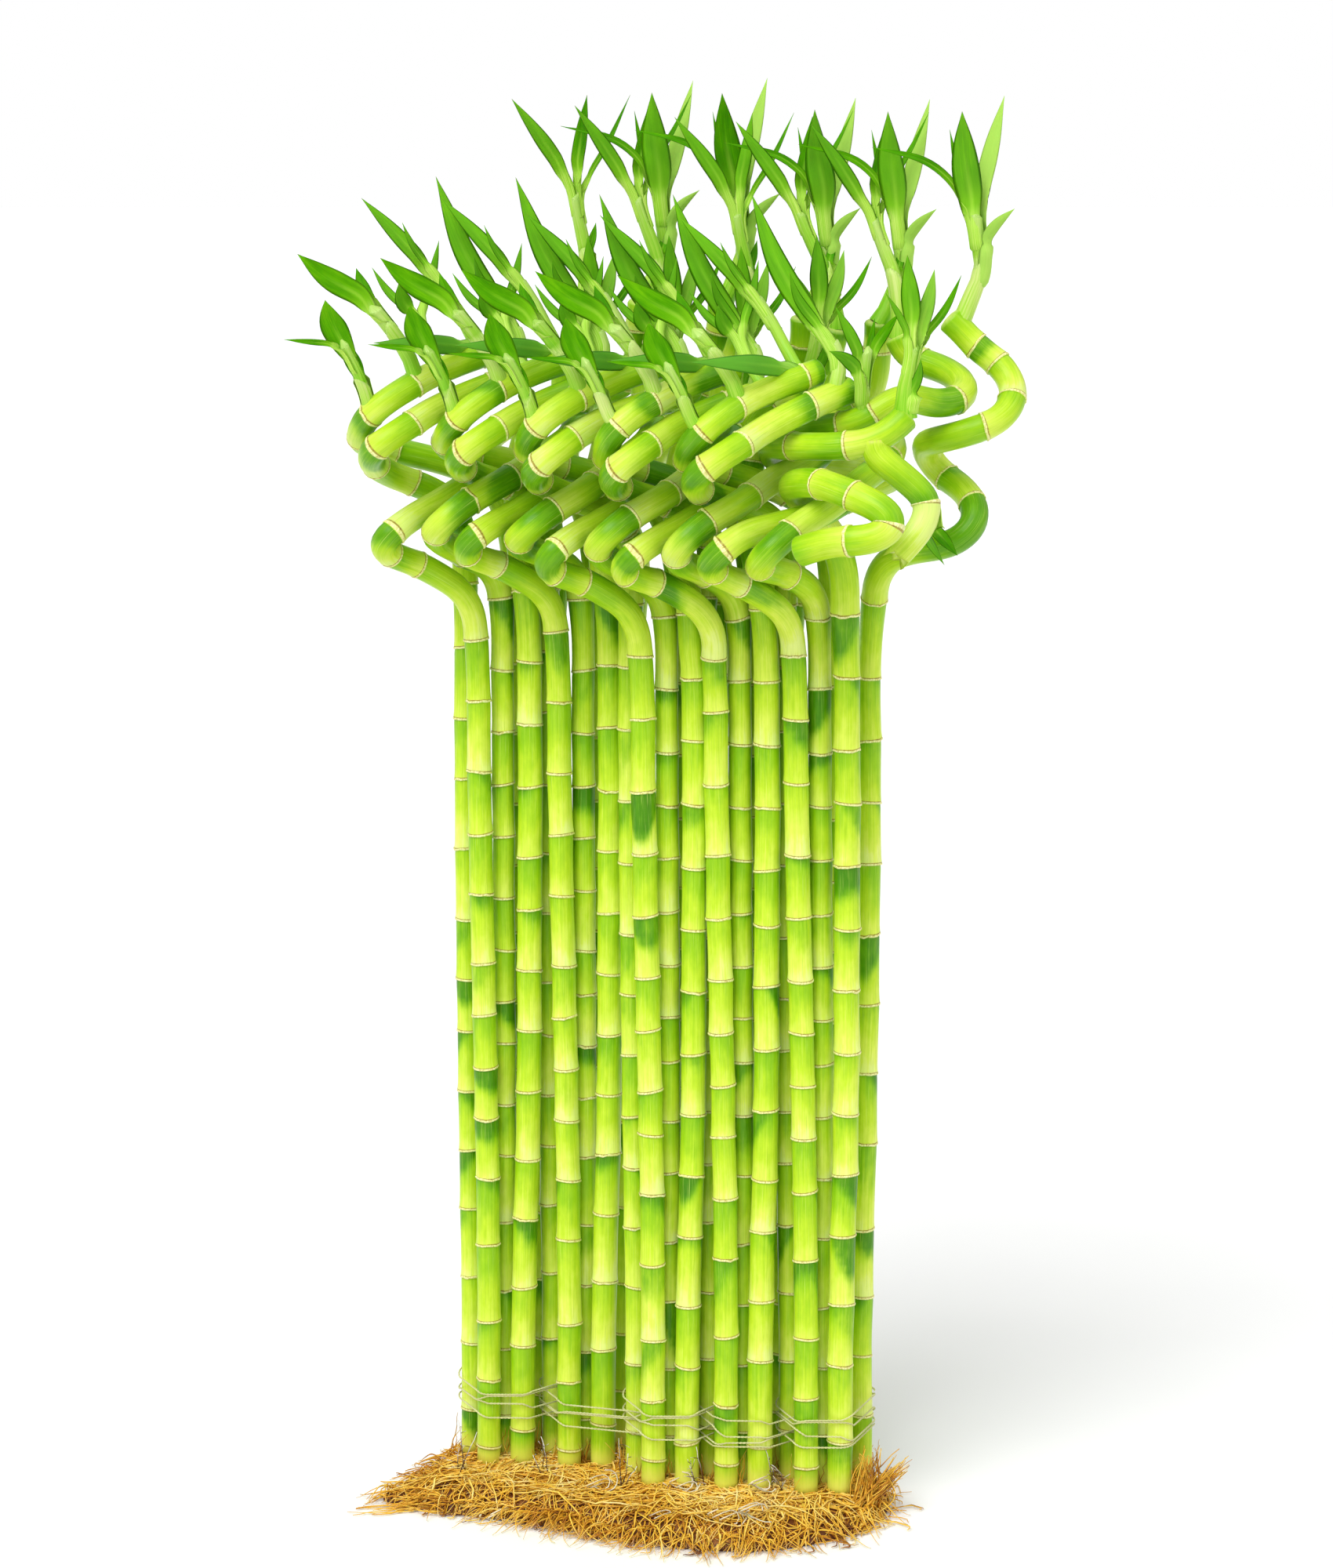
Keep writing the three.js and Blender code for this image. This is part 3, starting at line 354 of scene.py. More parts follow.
TUFT = shoot(
    "tuft",
    [985, 500],
    [3, 2.4],
    [[976, 494, -24], [956, 462, -8], [944, 432, 2]],
    [[944, 436, 2], [908, 404, 8], [885, 370, 14], 5],
    [[944, 436, 2], [926, 416, -4], [920, 392, -8], 10],
    [[946, 434, 2], [960, 386, 10], [970, 335, 16], 6],
)

# Curls, as across, down, depth, and 1 where a leaf scar is seen: bends that two stalks share first
FRONT_BEND = [
    [1008, 803, -1, 0], [992, 773, -6, 0], [968, 753, -14, 0], [944, 740, -22, 1], [920, 732, -32, 0],
    [903, 720, -46, 0], [917, 704, -54, 1], [948, 685, -42, 0],
]
MIDDLE_BEND = [
    [1036, 762, 8, 0], [1018, 746, 2, 0], [991, 738, -6, 1], [968, 726, -22, 0], [950, 707, -46, 0],
    [964, 692, -60, 0],
]

# The six stalks of a group. foot: across, down, depth of the straight part, from the ground up.
# rings: how far down each leaf scar of the straight part is seen.
# curl, shoots: as above; last_curl and last_shoots are for the last group, where they differ.
STALKS = [
    {
        "name": "front_left",
        "radius": 6.9,
        "curl_radius": 7.5,
        "foot": [
            [1028, 1895, 0], [1028, 1700, 0], [1027, 1560, 0], [1023, 1350, 0], [1017, 1089, 0],
            [1012, 834, 0],
        ],
        "rings": [1866, 1786, 1707, 1608, 1525, 1451, 1388, 1319, 1250, 1168, 1089, 1005, 915, 834],
        "curl": [
            *FRONT_BEND, [985, 664, -30, 0], [1012, 648, -22, 1],
        ],
        "last_curl": [
            *FRONT_BEND, [1000, 656, -22, 0], [1060, 624, 2, 1], [1105, 606, 18, 0], [1128, 597, 38, 0],
            [1105, 588, 58, 1], [1055, 580, 60, 0], [1012, 580, 44, 0], [994, 584, 16, 0],
            [1004, 586, -12, 0], [1020, 584, -28, 1], [1050, 582, -42, 0], [1080, 580, -50, 1],
            [1115, 573, -54, 0], [1142, 558, -54, 0], [1158, 542, -52, 0],
        ],
        "shoots": [],
        "last_shoots": [FAN, SHEATHED_BRANCH],
    },
    {
        "name": "middle",
        "radius": 6.4,
        "curl_radius": 7.7,
        "foot": [
            [1048, 1895, 12.5], [1048, 1744, 12.5], [1049, 1500, 12], [1047, 1163, 10.5],
            [1045.5, 955, 9.5], [1043, 790, 9.5],
        ],
        "rings": [1830, 1744, 1664, 1582, 1498, 1427, 1355, 1297, 1234, 1163, 1094, 1028, 955, 875, 790],
        "curl": [
            *MIDDLE_BEND, [998, 667, -54, 1], [1030, 650, -49, 0], [1058, 634, -41, 1],
            [1098, 607, -23, 0], [1128, 582, 2, 0], [1138, 560, 26, 1], [1124, 532, 42, 0],
            [1124, 496, 46, 0], [1138, 462, 44, 1], [1146, 432, 40, 0],
        ],
        "last_curl": [
            *MIDDLE_BEND, [998, 667, -52, 1], [1030, 648, -47, 0], [1058, 632, -40, 0],
            [1098, 606, -22, 0], [1136, 580, 0, 1], [1142, 562, 24, 0], [1120, 550, 48, 0],
            [1070, 548, 66, 1], [1030, 552, 52, 0], [1010, 558, 26, 0], [1018, 556, 2, 0],
            [1036, 549, -12, 0], [1066, 543, -22, 1], [1108, 528, -30, 1], [1138, 510, -28, 0],
            [1164, 507, -20, 0], [1188, 514, -12, 0], [1214, 512, -8, 1], [1229, 499, 4, 0],
            [1220, 482, 18, 0], [1200, 470, 28, 0], [1174, 461, 36, 1], [1152, 448, 40, 0],
            [1146, 432, 40, 0],
        ],
        "shoots": [TALL_MIDDLE],
        "last_shoots": [FORK, TALL_MIDDLE],
    },
    {
        "name": "front_right",
        "radius": 7.1,
        "curl_radius": 8,
        "foot": [
            [1071, 1895, 0], [1071, 1840, 0], [1073, 1660, 0], [1079, 1418, 0], [1080, 1185, 0],
            [1081, 1031, 0], [1078, 781, 0],
        ],
        "rings": [1840, 1741, 1660, 1575, 1500, 1418, 1341, 1260, 1185, 1111, 1031, 952, 868, 781],
        "curl": [
            [1076, 745, -3, 0], [1072, 705, 2, 1], [1070, 660, 13, 0], [1073, 615, 20, 1],
            [1086, 575, 18, 0], [1118, 550, 10, 1], [1158, 540, 2, 0],
        ],
        "last_curl": [
            [1076, 745, 3, 0], [1070, 712, 6, 0], [1056, 680, 8, 1], [1034, 650, 6, 0],
            [1012, 626, -2, 0], [1002, 613, -19, 0], [1020, 612, -41, 0], [1042, 614, -54, 1],
            [1062, 621, -66, 0], [1085, 631, -74, 1], [1106, 640, -80, 0], [1128, 652, -84, 0],
            [1139, 668, -86, 1], [1126, 682, -88, 0], [1106, 688, -88, 0], [1087, 689, -86, 1],
            [1060, 691, -82, 0], [1035, 698, -76, 0], [1020, 703, -73, 0],
        ],
        "shoots": [FAN],
        "last_shoots": [],
    },
    {
        "name": "right",
        "radius": 6.6,
        "curl_radius": 7.6,
        "foot": [
            [1098, 1895, 32], [1098, 1700, 32], [1105, 1367, 32], [1109, 1029, 32], [1109, 861, 32],
            [1114, 767, 32],
        ],
        "rings": [1800, 1724, 1655, 1565, 1457, 1367, 1284, 1193, 1105, 1029, 948, 861, 767],
        "curl": [
            [1114, 730, 34, 0], [1096, 690, 50, 1], [1060, 652, 62, 0], [1030, 622, 62, 1],
            [1024, 592, 74, 0], [1052, 568, 88, 0], [1104, 552, 92, 1], [1160, 534, 84, 0],
            [1204, 512, 62, 1], [1218, 476, 48, 0], [1220, 442, 40, 1], [1222, 412, 36, 0],
        ],
        "last_curl": [
            [1119, 736, 26, 0], [1136, 712, 20, 0], [1166, 702, 10, 0], [1198, 697, 0, 0],
            [1224, 687, -6, 0], [1242, 666, -2, 0], [1238, 640, 8, 1], [1220, 619, 18, 0],
            [1202, 607, 26, 1], [1184, 588, 30, 0], [1176, 568, 18, 0], [1192, 560, -2, 0],
            [1220, 553, -10, 0], [1246, 545, -12, 1], [1275, 532, -10, 0], [1291, 507, -2, 1],
            [1288, 486, 6, 0], [1276, 467, 10, 1], [1245, 442, 14, 1], [1222, 417, 16, 0],
            [1212, 408, 16, 0],
        ],
        "shoots": [TALL_RIGHT],
        "last_shoots": [TALL_RIGHT],
    },
    {
        "name": "back_left",
        "radius": 6.4,
        "curl_radius": 7.5,
        "foot": [
            [1007, 1895, 20.5], [1007, 1700, 20.5], [1003, 1418, 20.5], [999, 1106, 20.5],
            [998, 900, 20.5], [998, 762, 20.5],
        ],
        "rings": [1820, 1734, 1646, 1561, 1488, 1418, 1342, 1272, 1193, 1106, 1020, 935, 850, 770],
        "curl": [
            [997, 722, 21, 0], [990, 684, 15, 1], [970, 656, 6, 0], [938, 640, 0, 1], [905, 628, -8, 0],
            [882, 614, -28, 0], [879, 606, -46, 0], [889, 595, -59, 1], [938, 566, -51, 1],
            [985, 541, -39, 0], [1034, 521, -33, 1], [1066, 509, -28, 0], [1084, 503, -22, 0],
        ],
        "shoots": [BLADE],
    },
    {
        "name": "back",
        "radius": 6.4,
        "curl_radius": 7.3,
        "foot": [[1058, 1895, 28], [1059, 1500, 28], [1061, 1100, 28], [1062, 900, 28], [1062, 782, 28]],
        "rings": [1815, 1722, 1634, 1550, 1466, 1384, 1300, 1212, 1130, 1046, 960, 872, 786],
        "curl": [
            [1061, 740, 28, 0], [1055, 692, 26, 1], [1040, 652, 22, 0], [1008, 626, 15, 1],
            [960, 611, 11, 0], [912, 602, 6, 1], [880, 596, -6, 0], [868, 585, -28, 0],
            [886, 558, -52, 1], [937, 523, -46, 1], [985, 500, -34, 0], [1030, 484, -26, 1],
            [1050, 478, -22, 0],
        ],
        "shoots": [LOW_LEFT, WIDE_LEFT, LONG_LEFT, TUFT],
    },
]

# Small leaves that the solids leave out, by the shoot they grow on, as the others are given
MORE_LEAVES = {
    "tall_right": [[[1240, 266, 14], [1221, 216, 24], [1211, 165, 30], 4]],
    "low_left": [
        [[870, 516, -51], [858, 500, -53], [846, 484, -46], 4],
        [[877, 514, -51], [869, 498, -53], [863, 478, -48], 4.5],
    ],
    "wide_left": [[[912, 456, -42], [902, 436, -34], [898, 422, -30], 4]],
    "fan": [[[1160, 520, -52], [1176, 490, -60], [1178, 466, -62], 6]],
    "tall_middle": [[[1150, 350, 44], [1160, 326, 50], [1164, 306, 54], 5]],
}

# Leaf scars that the solids leave out: at the tight bends of the coils, by stalk, and on the branch
MORE_RINGS = {
    "front_left": [912, 729, -39],
    "middle": [950, 711, -48],
    "back_left": [884, 617, -24],
    "back": [866, 590, -26],
}
BRANCH_RING = [1190, 640, -54]

# Leaves of a colour of their own, by shoot and by their place in its list
LEAF_TONES = {
    "long_left": {2: LYING_LEAF_TONE},
    "tall_right": {1: 2.6, 3: 2.6},
    "fan": {1: 1.9},
    "low_left": {0: 1.0},
    "wide_left": {0: 1.0},
}

# Shoots whose first blade opens lower on its stem, by how many mm, and where that blade is widest
LONG_BLADES = {"low_left": (15, 0.62), "wide_left": (15, 0.52), "tall_right": (7, 0.46)}

# Tufts of roots that stand up or stick out: foot and tip on the view grid, how many, and how
# wide the tuft is at its foot and at its tip, in mm
ROOT_TUFTS = [
    [[530, 1920, -2], [444, 1941, -4], 9, 5, 6],
    [[590, 1912, 6], [498, 1920, 0], 80, 8, 4],
    [[1088, 1928, -14], [1157, 1863, -6], 80, 4.0, 3.2],
    [[1102, 1925, -12], [1110, 1850, -8], 80, 4.5, 4.0],
    [[1085, 1950, -30], [1098, 1960, -34], 60, 6, 4],
]

# Grey-white loops of old roots: middle on the view grid, and how wide in mm
PALE_LOOPS = [
    [[765, 1897, -2], 9], [[597, 1930, 0], 7], [[640, 1934, -20], 9], [[845, 1938, -40], 9],
    [[932, 1940, -50], 10], [[966, 1930, -52], 8], [[872, 1893, -8], 8], [[968, 1893, -14], 8],
]

# Dead rootlets that stand between the groups: foot and tip on the view grid
DEAD_ROOTLETS = [
    [[588, 1888, 24], [582, 1810, 26]],
    [[690, 1886, 22], [687, 1828, 22]],
    [[797, 1902, 0], [792, 1838, 2]],
    [[891, 1904, -4], [886, 1842, -2]],
    [[992, 1904, -8], [988, 1850, -8]],
]


def seen(across, down, depth):
    """The point at this depth that is seen at this place on the view grid."""
    focal = VIEW_DISTANCE / GRID_STEP
    right = (across - GRID_ACROSS) / focal
    up = (GRID_DOWN - down) / focal
    forward = math.cos(VIEW_TILT) + up * math.sin(VIEW_TILT)
    rise = up * math.cos(VIEW_TILT) - math.sin(VIEW_TILT)
    reach = (depth + VIEW_DISTANCE * math.cos(VIEW_TILT)) / forward
    return np.array([right * reach, depth, EYE_HEIGHT + rise * reach])


def smoothstep(start, end, value):
    t = np.clip((np.asarray(value, float) - start) / (end - start), 0, 1)
    return t * t * (3 - 2 * t)


def place_in_group(group, point, lean=0):
    """A point of the group's plan in space: its depth goes from the foot's to the crown's."""
    across, down, depth = point[0] + group["across"], point[1] + group["down"], point[2] + lean
    low = seen(across, down, depth + group["foot"])
    share = float(smoothstep(FREE_FROM_HEIGHT, CROWN_AT_HEIGHT, low[2]))
    shift = group["foot"] + (group["crown"] - group["foot"]) * share
    return seen(across, down, depth + shift)


def spline_point(knots, t):
    """A point on the centripetal Catmull-Rom line through the knots, t from 0 to 1."""
    place = (len(knots) - 1) * t
    n = min(int(place), len(knots) - 2)
    w = place - n
    p1, p2 = knots[n], knots[n + 1]
    p0 = knots[n - 1] if n > 0 else 2 * knots[0] - knots[1]
    p3 = knots[n + 2] if n + 2 < len(knots) else 2 * knots[-1] - knots[-2]
    d0, d1, d2 = (float(((b - a) ** 2).sum()) ** 0.25 for a, b in ((p0, p1), (p1, p2), (p2, p3)))
    d1 = d1 if d1 >= SAME_PLACE else 1.0
    d0 = d0 if d0 >= SAME_PLACE else d1
    d2 = d2 if d2 >= SAME_PLACE else d1
    t1 = ((p1 - p0) / d0 - (p2 - p0) / (d0 + d1) + (p2 - p1) / d1) * d1
    t2 = ((p2 - p1) / d1 - (p3 - p1) / (d1 + d2) + (p3 - p2) / d2) * d1
    cubic = 2 * p1 - 2 * p2 + t1 + t2
    square = -3 * p1 + 3 * p2 - 2 * t1 - t2
    return p1 + t1 * w + square * w * w + cubic * w**3


def running_length(line):
    """The length along a line up to each of its points."""
    return np.concatenate([[0], np.cumsum(np.linalg.norm(np.diff(line, axis=0), axis=1))])


def sample_line(knots):
    """Points at even steps along a smooth line through the knots."""
    table = len(knots) * SPLINE_TABLE
    ts = np.arange(table + 1) / table
    lengths = running_length(np.array([spline_point(knots, t) for t in ts]))
    count = max(3, math.floor(lengths[-1] / SAMPLE_STEP + 0.5))
    wanted = np.interp(np.arange(count + 1) / count * lengths[-1], lengths, ts)
    return np.array([spline_point(knots, t) for t in wanted])


def nearest_index(points, target):
    return int(np.argmin(((points - target) ** 2).sum(axis=1)))


def make_limb(kind, stalk_id, points, thick, flat=0.0, loose=1.0, parent=None, parent_index=0):
    """A line that settles: its half width is flat in the view's plane, and thick all round."""
    count = len(points)
    return {
        "kind": kind,
        "stalk_id": stalk_id,
        "points": points,
        "thick": np.broadcast_to(thick, count),
        "flat": np.broadcast_to(flat, count),
        "loose": np.broadcast_to(loose, count),
        "parent": parent,
        "parent_index": parent_index,
    }


def plan_of(group, stalk, key):
    """The stalk's curl or shoots: the last group has some of its own."""
    return stalk.get("last_" + key, stalk[key]) if group.get("last") else stalk[key]


def stalk_limb(group, stalk, stalk_id):
    curl, foot = plan_of(group, stalk, "curl"), stalk["foot"]
    knots = [place_in_group(group, k) for k in [*foot, *curl]]
    knots[0][2] = SHELF_HEIGHT + SEAT_GAP
    points = sample_line(knots)
    free = smoothstep(FREE_FROM_HEIGHT, FREE_AT_HEIGHT, points[:, 2])
    thick = stalk["radius"] + (stalk["curl_radius"] - stalk["radius"]) * free
    limb = make_limb("stalk", stalk_id, points, thick, loose=free)
    middle = foot[len(foot) // 2][2]
    marks = [place_in_group(group, [foot[0][0], down, middle]) for down in stalk["rings"]]
    marks += [knots[len(foot) + i] for i, k in enumerate(curl) if k[3]]
    limb["rings"] = sorted({nearest_index(points, mark) for mark in marks})
    limb["curl_from"] = nearest_index(points, knots[len(foot) - 1])
    return limb


def leaf_width_share(t):
    swell = np.sin(np.pi * t**0.72) ** 0.9 if 0 < t < 1 else 0.0
    return max(0.04, 0.22 * (1 - t) + 0.9 * swell)


def add_leaf_limb(group, shoot, ends, width):
    """A leaf on a shoot's stem, moved by as much as the stem has moved there since it was placed."""
    stem, before = shoot["stem"], shoot["stem_before"]
    root, *blade = (place_in_group(group, end, shoot["lean"]) for end in ends)
    on = nearest_index(before, root)
    moved = stem["points"][on] - before[on]
    points = sample_line([stem["points"][on], *(p + moved for p in blade)])
    last = len(points) - 1
    half = np.array([width / 2 * leaf_width_share(i / last) for i in range(last + 1)])
    thick = LEAF_SOLID[0] + LEAF_SOLID[1] * half
    leaf = make_limb("leaf", stem["stalk_id"], points, thick, half, 1.0, stem, on)
    shoot["leaves"].append(leaf | {"width": width})


def grow_shoot(group, plan, curl, stalk):
    """A shoot where its plan puts it on the curl: its stem as it first grows, and its leaves."""
    at = plan["at"]
    near = min(reversed(curl), key=lambda k: math.hypot(k[0] - at[0], k[1] - at[1]))
    on = nearest_index(stalk["points"], place_in_group(group, [*at, near[2]]))
    lean = near[2] - plan["stem"][0][2]
    line = sample_line([stalk["points"][on], *(place_in_group(group, k, lean) for k in plan["stem"])])
    foot, tip = plan["radii"]
    radii = foot + (tip - foot) * np.arange(len(line)) / (len(line) - 1)
    stem = make_limb("stem", stalk["stalk_id"], line, radii, parent=stalk, parent_index=on)
    grown = {"name": plan["name"], "stem": stem, "stem_before": line, "lean": lean, "leaves": []}
    for *ends, width in plan["leaves"]:
        add_leaf_limb(group, grown, ends, width)
    return grown


def close_pairs(place, stalk_of, limb_of, index_of, is_stalk, loose):
    """Pairs of dots on different stalks, or far apart on one, that are near enough to meet."""
    cells = np.floor(place / PAIR_REACH).astype(np.int64)
    cells -= cells.min(axis=0)
    wide, deep = int(cells[:, 1].max()) + 3, int(cells[:, 2].max()) + 3
    keys = ((cells[:, 0] + 1) * wide + cells[:, 1] + 1) * deep + cells[:, 2] + 1
    order = np.argsort(keys, kind="stable")
    ordered = keys[order]
    found = []
    for x, y, z in itertools.product((-1, 0, 1), repeat=3):
        other = keys + (x * wide + y) * deep + z
        start = np.searchsorted(ordered, other, "left")
        count = np.searchsorted(ordered, other, "right") - start
        first = np.repeat(np.arange(len(keys)), count)
        step = np.arange(count.sum()) - np.repeat(np.cumsum(count) - count, count)
        second = order[np.repeat(start, count) + step]
        keep = second > first
        first, second = first[keep], second[keep]
        own = (limb_of[first] == limb_of[second]) & is_stalk[first]
        far = np.abs(index_of[first] - index_of[second]) >= SELF_CLEARANCE_STEPS
        keep = (stalk_of[first] != stalk_of[second]) | (own & far)
        keep &= ((place[first] - place[second]) ** 2).sum(axis=1) < PAIR_REACH**2
        keep &= loose[first] + loose[second] > 0
        found.append(np.stack([first[keep], second[keep]]))
    return np.concatenate(found, axis=1)


def settle(limbs):
    """Limbs that come too close are pushed apart until they clear, in depth rather than sideways."""
    counts = [len(limb["points"]) for limb in limbs]
    starts = np.concatenate([[0], np.cumsum(counts)[:-1]])
    for limb, start in zip(limbs, starts):
        limb["start"] = int(start)
    rest, flat, thick, loose = (
        np.concatenate([limb[key] for limb in limbs]) for key in ("points", "flat", "thick", "loose")
    )
    total = len(rest)
    limb_of = np.repeat(np.arange(len(limbs)), counts)
    stalk_of = np.repeat([limb["stalk_id"] for limb in limbs], counts)
    is_stalk = np.repeat([limb["parent"] is None for limb in limbs], counts)
    every = np.arange(total)
    index_of = every - np.repeat(starts, counts)
    before = np.where(index_of > 0, every - 1, every)
    after = np.where(index_of < np.repeat(counts, counts) - 1, every + 1, every)
    hold = np.where(loose == 0, 0, 0.9 + 0.1 * loose)[:, None]
    held_by = []
    for kind in ("stem", "leaf"):
        of_kind = [limb for limb in limbs if limb["kind"] == kind]
        own = np.array([limb["start"] for limb in of_kind])
        held = [limb["parent"]["start"] + limb["parent_index"] for limb in of_kind]
        held_by.append((own, np.array(held)))
    moved = np.zeros((total, 3))
    for turn in range(SETTLE_ROUNDS):
        place = rest + moved
        if turn % PAIR_ROUNDS == 0:
            first, second = close_pairs(place, stalk_of, limb_of, index_of, is_stalk, loose)
            widths = flat[first] + flat[second]
            reach = thick[first] + thick[second] + SETTLE_GAP
            firm = loose[first] + loose[second]
        gap = place[first] - place[second]
        side = np.hypot(gap[:, 0], gap[:, 2])
        apart = np.maximum(0, side - widths)
        lack = reach - np.hypot(apart, gap[:, 1])
        near = np.nonzero(lack > 0)[0]
        a, b, gap, side, apart = first[near], second[near], gap[near], side[near], apart[near]
        scale = np.where(side > 0.001, SIDEWAYS_SHARE * apart / np.maximum(side, 1e-9), 0)
        way = np.stack([gap[:, 0] * scale, gap[:, 1], gap[:, 2] * scale], axis=1)
        way[way[:, 1] == 0, 1] = 0.01
        size = np.linalg.norm(way, axis=1)
        way *= (lack[near] * SETTLE_PUSH / (firm[near] * size))[:, None]
        hits = np.bincount(a, minlength=total) + np.bincount(b, minlength=total)
        share = 2 / np.sqrt(np.maximum(hits, 1))
        for k in range(3):
            push = np.bincount(a, way[:, k] * loose[a], total)
            push -= np.bincount(b, way[:, k] * loose[b], total)
            moved[:, k] += push * share
        mean = (moved[before] + moved[after]) / 2
        moved = (moved + SETTLE_SMOOTHING * (mean - moved)) * hold
        for own, held in held_by:
            moved[own] = moved[held]
            moved[own + 1] += (moved[held] - moved[own + 1]) * 0.5
    for limb, start, count in zip(limbs, starts, counts):
        limb["points"] = limb["points"] + moved[start : start + count]
        limb["points"][:, 2] = np.maximum(limb["points"][:, 2], SHELF_HEIGHT)


def grow():
    """Every stalk of every group with its shoots, settled clear of each other, then the small leaves."""
    plants = []
    for number, (group, stalk) in enumerate(itertools.product(GROUPS, STALKS)):
        limb = stalk_limb(group, stalk, number)
        curl = plan_of(group, stalk, "curl")
        shoots = [grow_shoot(group, plan, curl, limb) for plan in plan_of(group, stalk, "shoots")]
        plants.append({"group": group, "stalk": stalk, "limb": limb, "shoots": shoots})
    limbs = []
    for plant in plants:
        limbs.append(plant["limb"])
        for grown in plant["shoots"]:
            limbs += [grown["stem"], *grown["leaves"]]
    settle(limbs)
    for plant in plants:
        for grown in plant["shoots"]:
            for *ends, width in MORE_LEAVES.get(grown["name"], ()):
                add_leaf_limb(plant["group"], grown, ends, width)
    return plants


class Skin:
    """Collects the points, faces and per-point values of one piece."""

    def __init__(self, *names):
        self.points, self.faces, self.grain, self.count = [], [], [], 0
        self.values = {name: [] for name in names}

    def add(self, points, faces, grain, **values):
        """Adds points (n, 3) in mm, faces (m, 4) or (m, 3), and values that each fit the points."""
        points = np.asarray(points, float)
        self.points.append(points)
        self.faces.append(np.asarray(faces, np.int64) + self.count)
        self.grain.append(np.asarray(grain, float))
        for name, kept in self.values.items():
            kept.append(np.broadcast_to(values.get(name, 0.0), len(points)))
        self.count += len(points)

    def add_tubes(self, points, grain, open_foot=False, **values):
        """Adds tubes: points and grain (tubes, rows, sides, 3), and values for each row or point."""
        shape = points.shape[:3]
        count, rows, sides = shape
        starts = rows * sides * np.arange(count)[:, None, None]
        ends = np.array([np.arange(sides)[::-1], (rows - 1) * sides + np.arange(sides)])
        self.faces.append((ends[int(open_foot) :] + starts).reshape(-1, sides) + self.count)
        for name, value in values.items():
            value = np.asarray(value, float)
            values[name] = np.broadcast_to(value[..., None] if value.ndim == 2 else value, shape).ravel()
        quads = (tube_faces(rows, sides) + starts).reshape(-1, 4)
        self.add(points.reshape(-1, 3), quads, grain.reshape(-1, 3), **values)

    def build(self, name, material, slot, *nodes):
        """Makes the mesh object, which rides on the part and stands for these nodes."""
        points = np.concatenate(self.points) * MM
        mesh = bpy.data.meshes.new(name)
        mesh.vertices.add(len(points))
        mesh.vertices.foreach_set("co", points.astype(np.float32).ravel())
        corners = np.concatenate([f.ravel() for f in self.faces])
        sizes = np.concatenate([np.full(len(f), f.shape[1]) for f in self.faces])
        mesh.loops.add(len(corners))
        mesh.loops.foreach_set("vertex_index", corners.astype(np.int32))
        mesh.polygons.add(len(sizes))
        mesh.polygons.foreach_set("loop_start", (np.cumsum(sizes) - sizes).astype(np.int32))
        mesh.polygons.foreach_set("use_smooth", np.ones(len(sizes), bool))
        for key, kept in self.values.items():
            layer = mesh.attributes.new(key, "FLOAT", "POINT")
            layer.data.foreach_set("value", np.concatenate(kept).astype(np.float32))
        layer = mesh.attributes.new("grain", "FLOAT_VECTOR", "POINT")
        layer.data.foreach_set("vector", np.concatenate(self.grain).astype(np.float32).ravel())
        mesh.update(calc_edges=True)
        mesh.validate()
        mesh.materials.append(material)
        made = bpy.data.objects.new(name, mesh)
        bpy.context.scene.collection.objects.link(made)
        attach(made, "root")
        if nodes:
            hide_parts(*nodes)


def rounded(knots, parts):
    """Points along the smooth line through the knots, from the second one up to the last but one."""
    w = (np.arange(parts) / parts)[:, None]
    bits = [
        b
        + 0.5 * w * (c - a)
        + w**2 * (a - 2.5 * b + 2 * c - 0.5 * d)
        + w**3 * (1.5 * b - 0.5 * a - 1.5 * c + 0.5 * d)
        for a, b, c, d in zip(knots[:-3], knots[1:-2], knots[2:-1], knots[3:])
    ]
    return np.vstack(bits)


def dense(points, rounds=2):
    """The line with small kinks taken out, in short straight bits, with the length up to each."""
    line = points.copy()
    for _ in range(rounds):
        line[1:-1] = 0.25 * line[:-2] + 0.5 * line[1:-1] + 0.25 * line[2:]
    knots = np.vstack([2 * line[0] - line[1], line, 2 * line[-1] - line[-2]])
    line = np.vstack([rounded(knots, DENSE_PARTS), line[-1:]])
    return line, running_length(line)


def along_line(line, lengths, at):
    return np.stack([np.interp(at, lengths, line[:, k]) for k in range(3)], axis=1)


def unit(vectors):
    return vectors / np.linalg.norm(vectors, axis=1)[:, None]


def carried_frames(centres):
    """Directions along, across and out of a line, turned as little as can be from one to the next."""
    ahead = np.vstack([centres[1:], centres[-1:]])
    behind = np.vstack([centres[:1], centres[:-1]])
    along = unit(ahead - behind)
    side = np.cross((0.0, -1.0, 0.001), along[0])
    if np.linalg.norm(side) < 0.1:
        side = np.cross((1.0, 0.0, 0.0), along[0])
    sides = np.empty_like(along)
    for i, way in enumerate(along):
        side = side - way * (side @ way)
        side /= math.sqrt(side @ side)
        sides[i] = side
    return along, sides, np.cross(along, sides)


def around(sides):
    """The angles of the sides of a tube."""
    return FULL_TURN * np.arange(sides) / sides


def ring_points(centres, side, out, turn, reach):
    """Points round each centre, as far from it as reach says, which has one more axis."""
    outward = np.cos(turn)[:, None] * side[..., None, :] + np.sin(turn)[:, None] * out[..., None, :]
    return centres[..., None, :] + reach[..., None] * outward


def tube_grain(places, turn, size=1.0):
    """Where each point is in the grain: two numbers that go round the tube, and one along it."""
    grain = np.empty((*places.shape, len(turn), 3))
    grain[..., 0], grain[..., 1] = size * np.cos(turn), size * np.sin(turn)
    grain[..., 2] = places[..., None]
    return grain


